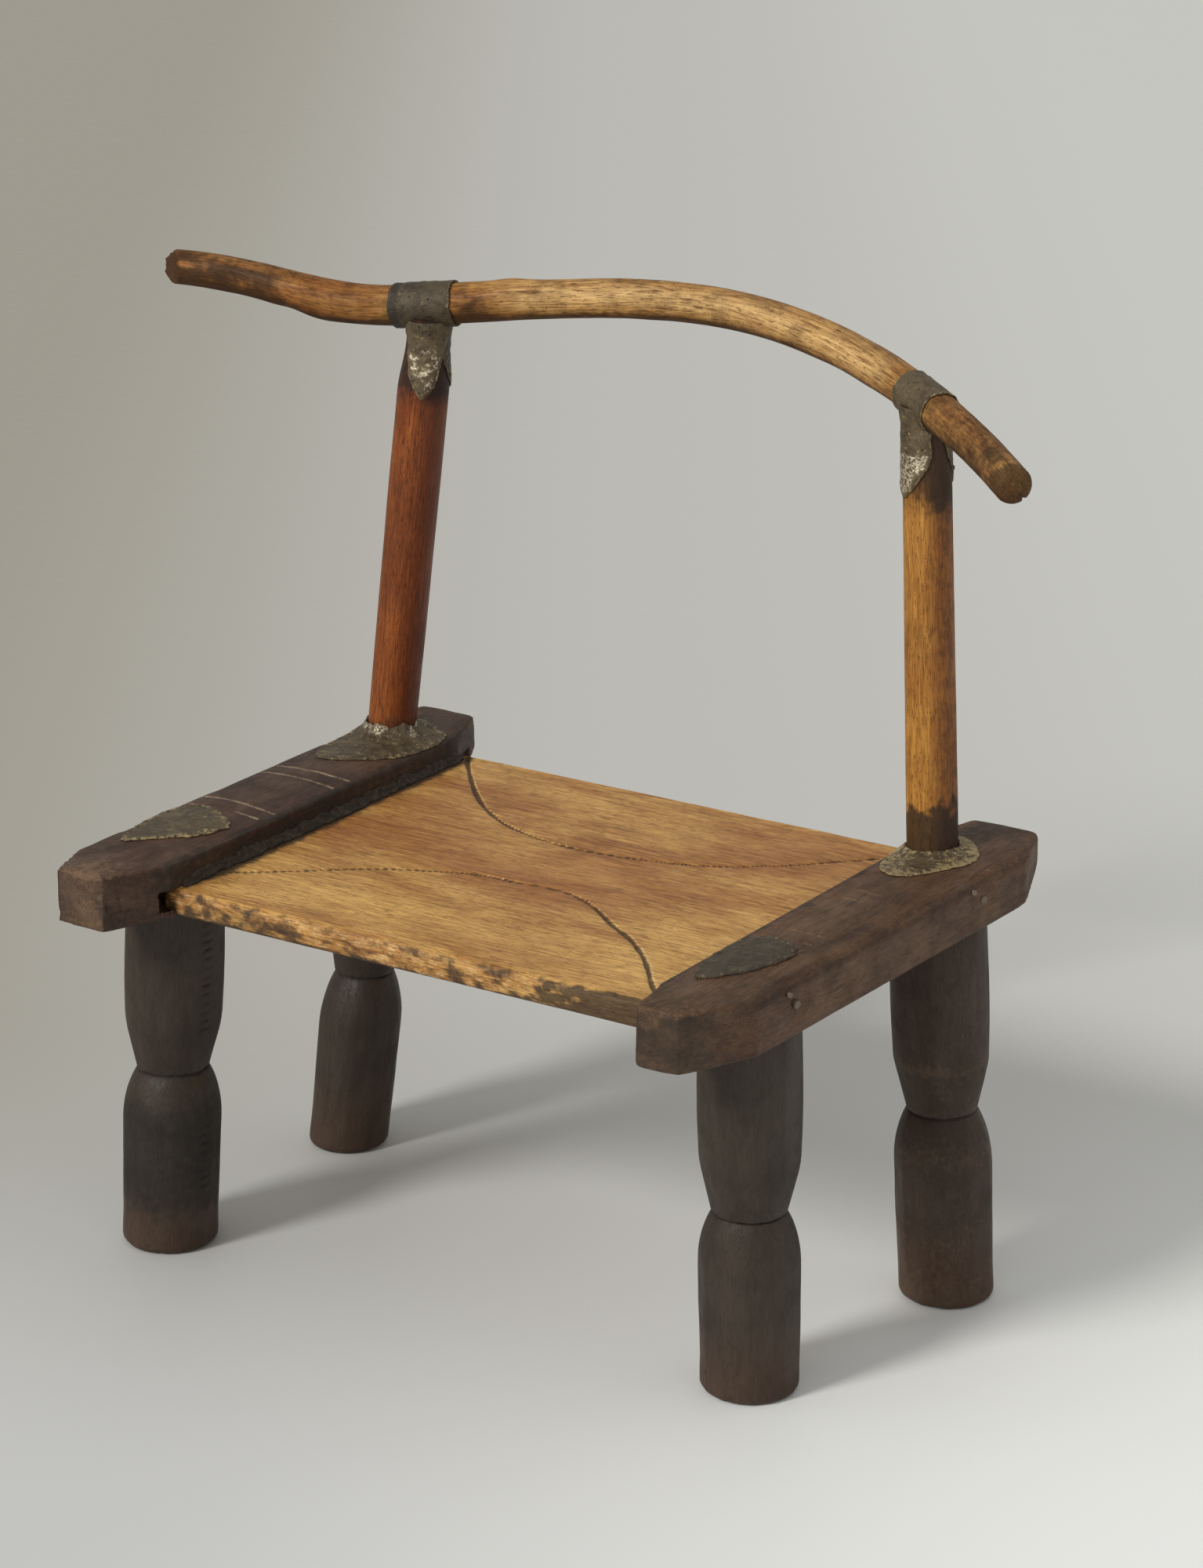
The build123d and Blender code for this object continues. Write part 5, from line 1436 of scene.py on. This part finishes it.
def make_strap(side, end, seed):
    """Pointed strap of sheet hammered onto a post's neck."""
    facing, highest, lowest, half_width = strap_shape(side, end)
    heights = np.linspace(highest, lowest, 64)
    half = half_width(heights)
    down = np.stack([heights * 0, heights * 0, heights], axis=-1)
    half_low = half + 4.0 * layered(down, 6.0, seed) * (half > 6)
    half_high = half + 4.0 * layered(down, 6.0, seed + 1) * (half > 6)
    t = np.sin(np.linspace(-pi / 2, pi / 2, 46))
    spread = np.where(t > 0, np.outer(half_high, t), np.outer(half_low, t))
    angle = radians(facing) + np.radians(spread)
    z = np.broadcast_to(heights[:, None], angle.shape)
    place = on_round(NECK, angle, z)
    dents = crumpled(place, seed + 2)
    to_side = np.radians(np.where(t > 0, half_high[:, None] - spread, half_low[:, None] + spread)) * NECK
    edge = np.minimum(to_side, z - lowest + 0.4)
    top = eased(z, highest - 12, highest - 2)
    flare = top * (0.35 + 0.5 * lumps(place, 4.0, seed + 3))
    lap = 0.45 if end == "front" else 0.1
    outer_lift = 0.12 + SHEET * eased(edge, -0.4, 0.9) + lap + flare
    outer_lift = outer_lift + np.clip(dents, -0.3, 0.5) * eased(edge, 0, 2.5)
    curled = hump(edge, 0, 1.0) * unit(lumps(place, 3.5, seed + 4)) * 0.5
    outer = post_skin(side, z, angle, outer_lift + curled)
    inner = post_skin(side, z, angle, np.full(angle.shape, 0.06) + 0.6 * flare)
    rows, columns = angle.shape
    points = np.concatenate([outer.reshape(-1, 3), inner.reshape(-1, 3)])
    index = np.arange(rows * columns).reshape(rows, columns)
    face = np.stack([index[:-1, :-1], index[:-1, 1:], index[1:, 1:], index[1:, :-1]], axis=-1).reshape(-1, 4)
    round_edge = np.concatenate([index[0, :-1], index[:-1, -1], index[-1, :0:-1], index[:0:-1, 0]])
    beside = np.roll(round_edge, -1)
    under = rows * columns
    rims = np.stack([round_edge, beside, beside + under, round_edge + under], axis=-1)
    faces = face.tolist() + (face[:, ::-1] + under).tolist() + rims.tolist()
    rim = eased(edge, 2.4, 0.2) * 0.5 + 0.1
    hammered = layered(place, 3.2, seed + 6)
    middle = eased(edge, 0.5, 3.0)
    # painted glints on the straps, strongest on the right front strap
    glint = {("left", "front"): 0.40, ("right", "front"): 0.66}.get((side, end), 0.05)
    shine = unit(glint * middle + hammered * 0.5 * middle) * eased(z, highest - 8, highest - 20)
    if (side, end) == ("right", "front"):
        shine *= eased(z, 536, 528)
    soot = 0.3 * top + (0.75 if end == "rear" else 0.0)
    rim, shine, soot = (np.tile(values.ravel(), 2) for values in (rim, shine, soot))
    return sheet_piece(f"{side}_{end}_strap", points, faces, rim, shine, soot, side + "_sleeve")


PATCH_EDGE = {
    "left": [(-11, -44), (6, -31), (18, -19), (26, -6), (28.5, 10), (24, 22.5), (-2, 36.5), (-19, 33),
             (-25.5, 19), (-24.5, -7), (-19.5, -27)],
    "right": [(-8.6, -41), (-1, -41.5), (6.5, -34), (15.5, -18.5), (21, -1), (23, 14), (20.5, 26), (6, 36.5),
              (-9, 37.5), (-19, 27), (-21.5, 11), (-21, -8), (-16.5, -26)],
}
PATCH_MIDDLE = {"left": (-217.5, -102.0), "right": (201.0, -105.0)}
COLLAR_BORE = 16.25
COLLAR_EDGE = {
    "left": [(-9, -71), (20, -60), (37, -28), (35, 12), (10, 27), (-18, 21), (-21, -30)],
    "right": [(8, -56), (25, -32), (33, -6), (24, 14), (6, 26), (-15, 19), (-19, -8), (-13, -42)],
}


def edge_reach(corners, angle):
    """Distance to a smooth closed outline in each direction from its middle."""
    corners = np.array(corners, float)
    count = len(corners)
    thrice = np.concatenate([corners, corners, corners, corners[:1]])
    outline = smooth_line(np.arange(len(thrice)), thrice)(np.linspace(count, 2 * count, 240, endpoint=False))
    direction = np.unwrap(np.arctan2(outline[:, 1], outline[:, 0]))
    closed_turn = np.concatenate([direction - tau, direction, direction + tau])
    closed_reach = np.tile(np.hypot(*outline.T), 3)
    order = np.argsort(closed_turn)
    turn = (angle - direction.min()) % tau + direction.min()
    return np.interp(turn, closed_turn[order], closed_reach[order])


def torn_reach(corners, angle, coarse, fine, fine_size, seed):
    """Distance to the torn edge of a sheet in each direction."""
    reach = edge_reach(corners, angle)
    edge = on_round(reach, angle, 0 * angle)
    return reach + coarse * layered(edge, 8.0, seed) + fine * lumps(edge, fine_size, seed + 1)


def make_patch(side, seed):
    """Leaf-shaped patch hammered flat on a rail, with torn and pitted edges."""
    angle = all_round(220)
    ragged = 1.0 if side == "left" else 0.6
    reach = torn_reach(PATCH_EDGE[side], angle, 1.3 * ragged, 1.2 * ragged, 3.6, seed) - 0.8
    return flat_sheet(f"front_{side}_leaf_patch", side, PATCH_MIDDLE[side], angle, reach, 0.0, seed,
                      f"front_{side}_patch")


def make_collar(side, seed):
    """Sheet round a post's foot, crumpled where it turns up against the post."""
    angle = all_round(220)
    reach = torn_reach(COLLAR_EDGE[side], angle, 1.1, 0.5, 2.4, seed)
    return flat_sheet(f"rear_{side}_post_collar", side, POST_FEET[side], angle, reach, COLLAR_BORE, seed,
                      f"rear_{side}_collar")


def flat_sheet(name, side, middle, angle, reach, bore, seed, node_name):
    """Sheet laid on a rail's top from its middle, or from a post, out to its edge."""
    first = 0.0 if bore else 0.03
    shares = np.concatenate([np.linspace(first, 0.9, 26), [0.93, 0.955, 0.975, 0.99, 1.0]])
    start = bore + 0.95 if bore else 0.0
    out = start + (reach - start) * shares[:, None]
    x, y = middle[0] + out * np.cos(angle), middle[1] + out * np.sin(angle)
    place = np.stack([x, y, 0 * x], axis=-1)
    edge = reach - out
    dents = crumpled(place, seed + 4, 1.25)
    lift = 0.15 + SHEET + np.clip(dents, -0.35, 0.55) * eased(edge, 0, 4)
    lift = lift - 0.55 * eased(edge, 0.8, 0.0)
    curled = hump(edge, 0, 1.2) * unit(lumps(place, 4.0, seed + 5)) * 0.6
    lift = lift + curled
    if bore:
        swerve = 1.5 * lumps(np.stack([angle, 0 * angle, 0 * angle], axis=-1), 1.2, seed + 9)
        creases = np.abs(np.sin(angle * 9 + swerve))
        crease_height, lip_height = (0.9, 7.0) if side == "left" else (0.3, 2.6)
        lift = lift + (creases - 0.5) * crease_height * np.exp(-((out - start) / 14)) * eased(edge, 0, 4)
        folds = 1 + 0.35 * lumps(place, (5, 5, 5), seed + 6)
        lip = np.exp(-((out - start) / 4.2)) * lip_height * folds
        lift = lift + lip + unit(dents) * 1.2 * np.exp(-((out - start) / 12))
    top = np.stack([x, y, rail_crown(side, x, y) + lift], axis=-1)
    under_shares = np.array([1.0, 0.6, 0.25, first])
    floor_out = bore + (reach - 0.15 - bore) * under_shares[:, None]
    ux, uy = middle[0] + floor_out * np.cos(angle), middle[1] + floor_out * np.sin(angle)
    under = np.stack([ux, uy, rail_crown(side, ux, uy) + 0.05], axis=-1)
    flecks = 0.75 + 0.5 * lumps(place, 6.0, seed + 11)
    rim = eased(edge, 9.0, 1.5) * (0.72 if side == "left" or bore else 0.25) * flecks
    # painted glints on the crests of the dents
    shine = unit(dents - 0.12) * (1.0 if side == "left" or bore else 0.3) + 0.12
    soot = 0.15 * (layered(place, 16, seed + 8) > 0.2)
    if side == "right" and not bore:
        soot = soot + 0.6
    if bore:
        # painted glint of bright metal round the post's foot
        near = np.exp(-((out - start) / 6.5))
        near = near * (0.62 if side == "left" else 0.25)
        shine = shine + near * unit(0.6 + lumps(place, 4.0, seed + 7))
        lobe = spot(place, (0, 0, 0) if side == "left" else (208, 88, 0), (14, 20, 9))
        rim = rim * 0.45 + 0.2 if side == "left" else rim * 0.8 + 0.62 - 0.55 * lobe
        soot = soot + (0.2 if side == "left" else 0.0)
        wall = np.stack([middle[0] + bore * np.cos(angle), middle[1] + bore * np.sin(angle),
                         top[0, :, 2] - 0.2], axis=-1)[None]
        points = np.concatenate([top, under, wall])
        faces = loop_faces(len(points), len(angle))
        tail_points = np.zeros((0, 3))
    else:
        points = np.concatenate([top, under])
        faces = ring_faces(len(points), len(angle))
        tail_points = points[[0, -1]].mean(axis=1)
    whole = np.concatenate([points.reshape(-1, 3), tail_points])
    rest = np.zeros(len(whole) - rim.size)
    rim, shine, soot = (np.concatenate([values.ravel(), rest]) for values in (rim, shine, soot))
    return sheet_piece(name, whole, faces, rim, shine, soot, node_name)


# ---------------------------------------------------------------- tacks
def tack_row_tree():
    """Small domed tacks, spaced along a path, each standing square to the sheet it holds."""
    tree = bpy.data.node_groups.new("tack_row", "GeometryNodeTree")
    for label, kind, value in (("Path", "NodeSocketGeometry", None), ("Spacing", FLOAT, 0.0075),
                               ("Head Radius", FLOAT, 0.0014), ("Head Height", FLOAT, 0.0008),
                               ("Wobble", FLOAT, 0.0006), ("Seed", "NodeSocketInt", 3),
                               ("Finish", "NodeSocketMaterial", None)):
        socket = tree.interface.new_socket(label, in_out="INPUT", socket_type=kind)
        if value is not None:
            socket.default_value = value
    tree.interface.new_socket("Tacks", in_out="OUTPUT", socket_type="NodeSocketGeometry")
    entry = tree.nodes.new("NodeGroupInput").outputs
    leave = tree.nodes.new("NodeGroupOutput")
    path = node(tree, "GeometryNodeMeshToCurve", {"Mesh": entry["Path"]})
    spaced_out = node(tree, "GeometryNodeCurveToPoints",
                      {"Curve": path.outputs[0], "Length": entry["Spacing"]}, mode="LENGTH")
    out = node(tree, "GeometryNodeInputNamedAttribute", {"Name": "out"}, data_type="FLOAT_VECTOR")
    stray = node(tree, "FunctionNodeRandomValue", {"Seed": entry["Seed"]}, data_type="FLOAT_VECTOR")
    centred = vector_maths(tree, "SUBTRACT", stray.outputs[0], (0.5, 0.5, 0.5))
    sideways = vector_maths(tree, "CROSS_PRODUCT", centred[0], out.outputs[0])
    moved = node(tree, "ShaderNodeVectorMath", {0: sideways[0], "Scale": entry["Wobble"]}, operation="SCALE")
    set_off = node(tree, "GeometryNodeSetPosition",
                   {"Geometry": spaced_out.outputs[0], "Offset": moved.outputs[0]})
    head = node(tree, "GeometryNodeMeshUVSphere", {"Segments": 10, "Rings": 6, "Radius": 1.0})
    flat = node(tree, "ShaderNodeCombineXYZ", {"X": entry["Head Radius"], "Y": entry["Head Radius"],
                                               "Z": entry["Head Height"]})
    domed = node(tree, "GeometryNodeTransform", {"Geometry": head.outputs[0], "Scale": flat.outputs[0]})
    upright = node(tree, "FunctionNodeAlignRotationToVector", {"Vector": out.outputs[0]}, axis="Z")
    size = node(tree, "FunctionNodeRandomValue", {2: 0.75, 3: 1.2, "Seed": entry["Seed"]}, data_type="FLOAT")
    placed_heads = node(tree, "GeometryNodeInstanceOnPoints", {
        "Points": set_off.outputs[0], "Instance": domed.outputs[0], "Rotation": upright.outputs[0],
        "Scale": size.outputs[1]})
    real = node(tree, "GeometryNodeRealizeInstances", {"Geometry": placed_heads.outputs[0]})
    dressed = node(tree, "GeometryNodeSetMaterial",
                   {"Geometry": real.outputs[0], "Material": entry["Finish"]})
    tree.links.new(dressed.outputs[0], leave.inputs[0])
    return tree


TACK_ROW = tack_row_tree()


def make_tacks(name, places, outs, closed, spacing, seed, *nodes):
    """Tacks along one path on a sheet; the path's points carry the direction each head faces."""
    count = len(places)
    edges = [(i, i + 1) for i in range(count - 1)] + ([(count - 1, 0)] if closed else [])
    mesh = bpy.data.meshes.new(name)
    mesh.from_pydata([tuple(p) for p in placed(places)], edges, [])
    marked(mesh, "out", outs)
    path = linked(name, mesh)
    modifier = path.modifiers.new("tacks", "NODES")
    modifier.node_group = TACK_ROW
    wanted = {"Spacing": spacing * MM, "Seed": seed, "Finish": FINISH["tack"]}
    for item in TACK_ROW.interface.items_tree:
        if item.item_type == "SOCKET" and item.in_out == "INPUT" and item.name in wanted:
            modifier[item.identifier] = wanted[item.name]
    row = bpy.data.meshes.new_from_object(path.evaluated_get(bpy.context.evaluated_depsgraph_get()))
    path.modifiers.clear()
    path.data = row
    row.name = name
    row.shade_smooth()
    if not row.materials:
        row.materials.append(FINISH["tack"])
    return finished(path, "tack_metal", FINISH["tack"], *nodes)


def tack_rail_sheets(side, seed):
    """Tacks just inside the edges of a rail's patch and collar."""
    outward = OUTWARD[side]
    angle = all_round(120)
    for kind, middle, corners, node_name in (
            ("patch", PATCH_MIDDLE[side], PATCH_EDGE[side], f"front_{side}_tacks"),
            ("collar", POST_FEET[side], COLLAR_EDGE[side], f"rear_{side}_tacks")):
        reach = edge_reach(corners, angle) - 3.0
        if kind == "collar":
            reach = np.maximum(reach, 20.5)
        x, y = middle[0] + reach * np.cos(angle), middle[1] + reach * np.sin(angle)
        slope = (np.abs(x) - INNER_FACE - rail_width(side, y) / 2) * outward / 200.0
        outs = np.stack([slope, 0 * x, 1 + 0 * x], axis=-1)
        places = np.stack([x, y, rail_crown(side, x, y) + 1.0], axis=-1)
        make_tacks(f"{side}_{kind}_tack_row", places, outs, True, 12.0, seed, node_name)
        seed += 1


def tack_straps(side, seed):
    """A few tacks down the edges of the straps on a post."""
    for end in ("front", "rear"):
        facing, highest, lowest, half_width = strap_shape(side, end)
        heights = np.linspace(highest - 14, lowest + 6, 24)
        to_edge = np.clip(half_width(heights) - np.degrees(2.6 / NECK), 0, 90)
        turn = np.radians(facing + np.concatenate([to_edge, -to_edge[::-1]]))
        places = post_skin(side, np.concatenate([heights, heights[::-1]]), turn, 1.15)
        outs = on_round(1, turn, 0 * turn)
        make_tacks(f"{side}_{end}_strap_tack_row", places, outs, False, 11.0, seed, side + "_sleeve_tacks")
        seed += 1


# ---------------------------------------------------------------- build the chair
for seed, leg in enumerate(LEG_TOPS):
    make_leg(leg, 40 + 10 * seed)
for side, seed in (("left", 0), ("right", 10)):
    make_post(side, 90 + seed)
    make_rail(side, 120 + seed)
    make_resin(side, 200 + seed)
    make_sleeve(side, 220 + seed)
    make_strap(side, "front", 240 + seed)
    make_strap(side, "rear", 260 + seed)
    make_patch(side, 280 + seed)
    make_collar(side, 300 + seed)
    tack_rail_sheets(side, 320 + seed)
    tack_straps(side, 340 + seed)
    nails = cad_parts[side + "_rail_nails"]
    nails.data.materials.clear()
    nails.data.materials.append(FINISH["nail"])
make_branch(140)
make_plank(160)


# ---------------------------------------------------------------- floor, lights and camera
def make_floor():
    """Wide pale floor with painted light: darker far off and to the left, with a bright painted pool of light
    in front and to the right.
    """
    reach = 30000.0
    corners = [(-reach, -reach, 0), (reach, -reach, 0), (reach, reach, 0), (-reach, reach, 0)]
    floor = piece_from("floor", corners, [(0, 1, 2, 3)], stage=True)
    made, tree, shader = material("pale_floor_painted_light", (0.75, 0.75, 0.73))
    place = object_place(tree)
    to_right = vector_maths(tree, "DOT_PRODUCT", place, (0.833, 0.553, 0.0))["Value"]
    to_back = vector_maths(tree, "DOT_PRODUCT", place, (-0.553, 0.833, 0.0))["Value"]
    # painted light: the far and left colours stand for dimmer light, the near right colour for a pool of light
    far = tinted(tree, between(tree, to_right, -0.6, 0.12), (0.355, 0.336, 0.285), (0.53, 0.526, 0.50))
    far = tinted(tree, between(tree, to_right, 0.1, 0.8), far, (0.61, 0.615, 0.585))
    near = tinted(tree, between(tree, to_right, -0.3, 0.35), (0.60, 0.605, 0.595), (0.87, 0.88, 0.86))
    colour = tinted(tree, between(tree, to_back, 0.40, -0.35), far, near)
    tree.links.new(colour, shader.inputs["Base Color"])
    fine = noise(tree, place, 60.0, 3.0)
    tree.links.new(between(tree, fine, 0.2, 0.8, 0.5, 0.62), shader.inputs["Roughness"])
    shader.inputs["Specular IOR Level"].default_value = 0.25
    floor.data.materials.append(made)


def make_light(name, to_light, softness, strength, colour):
    """Far-off lamp: direction towards it, how wide it looks in degrees, and its strength."""
    lamp = bpy.data.lights.new(name, "SUN")
    lamp.angle = radians(softness)
    lamp.energy = strength
    lamp.color = colour
    made = linked(name, lamp)
    made.rotation_mode = "QUATERNION"
    made.rotation_quaternion = Vector(to_light).to_track_quat("Z", "Y")


def make_world():
    """Even light from all sides, seen as a grey room by the camera and by shiny places."""
    world = bpy.data.worlds.new("soft_room")
    bpy.context.scene.world = world
    world.use_nodes = True
    tree = world.node_tree
    tree.nodes.clear()
    path = node(tree, "ShaderNodeLightPath")
    seen = maths(tree, "MAXIMUM", path.outputs["Is Camera Ray"], path.outputs["Is Glossy Ray"])
    fill = node(tree, "ShaderNodeBackground", {"Color": (1.0, 0.995, 0.985, 1.0), "Strength": 0.60})
    room = node(tree, "ShaderNodeBackground", {"Color": (0.46, 0.45, 0.42, 1.0), "Strength": 1.0})
    mixed = node(tree, "ShaderNodeMixShader", {0: seen, 1: fill.outputs[0], 2: room.outputs[0]})
    node(tree, "ShaderNodeOutputWorld", {"Surface": mixed.outputs[0]})


CAMERA_PLACE = (1480.97, -2182.03, 1219.86)
CAMERA_TURN, CAMERA_TILT, CAMERA_ROLL = radians(33.58), radians(18.84), radians(-0.10)
CAMERA_LENS, CAMERA_SENSOR = 103.87, 36.0


def make_camera():
    """Camera to the right of the chair's front, a little above it and looking down."""
    lens = bpy.data.cameras.new("camera")
    lens.lens = CAMERA_LENS
    lens.sensor_width = CAMERA_SENSOR
    lens.clip_end = 100.0
    made = linked("camera", lens)
    turn = Matrix.Rotation(CAMERA_TURN, 3, "Z") @ Matrix.Rotation(pi / 2 - CAMERA_TILT, 3, "X")
    turn = turn @ Matrix.Rotation(CAMERA_ROLL, 3, "Z")
    made.matrix_world = Matrix.Translation(placed(CAMERA_PLACE)) @ turn.to_4x4()
    bpy.context.scene.camera = made


make_floor()
make_light("window", (-0.26, -0.79, 0.60), 13.0, 1.9, (1.0, 0.985, 0.955))
make_world()
make_camera()
bpy.context.scene.view_settings.view_transform = "Standard"
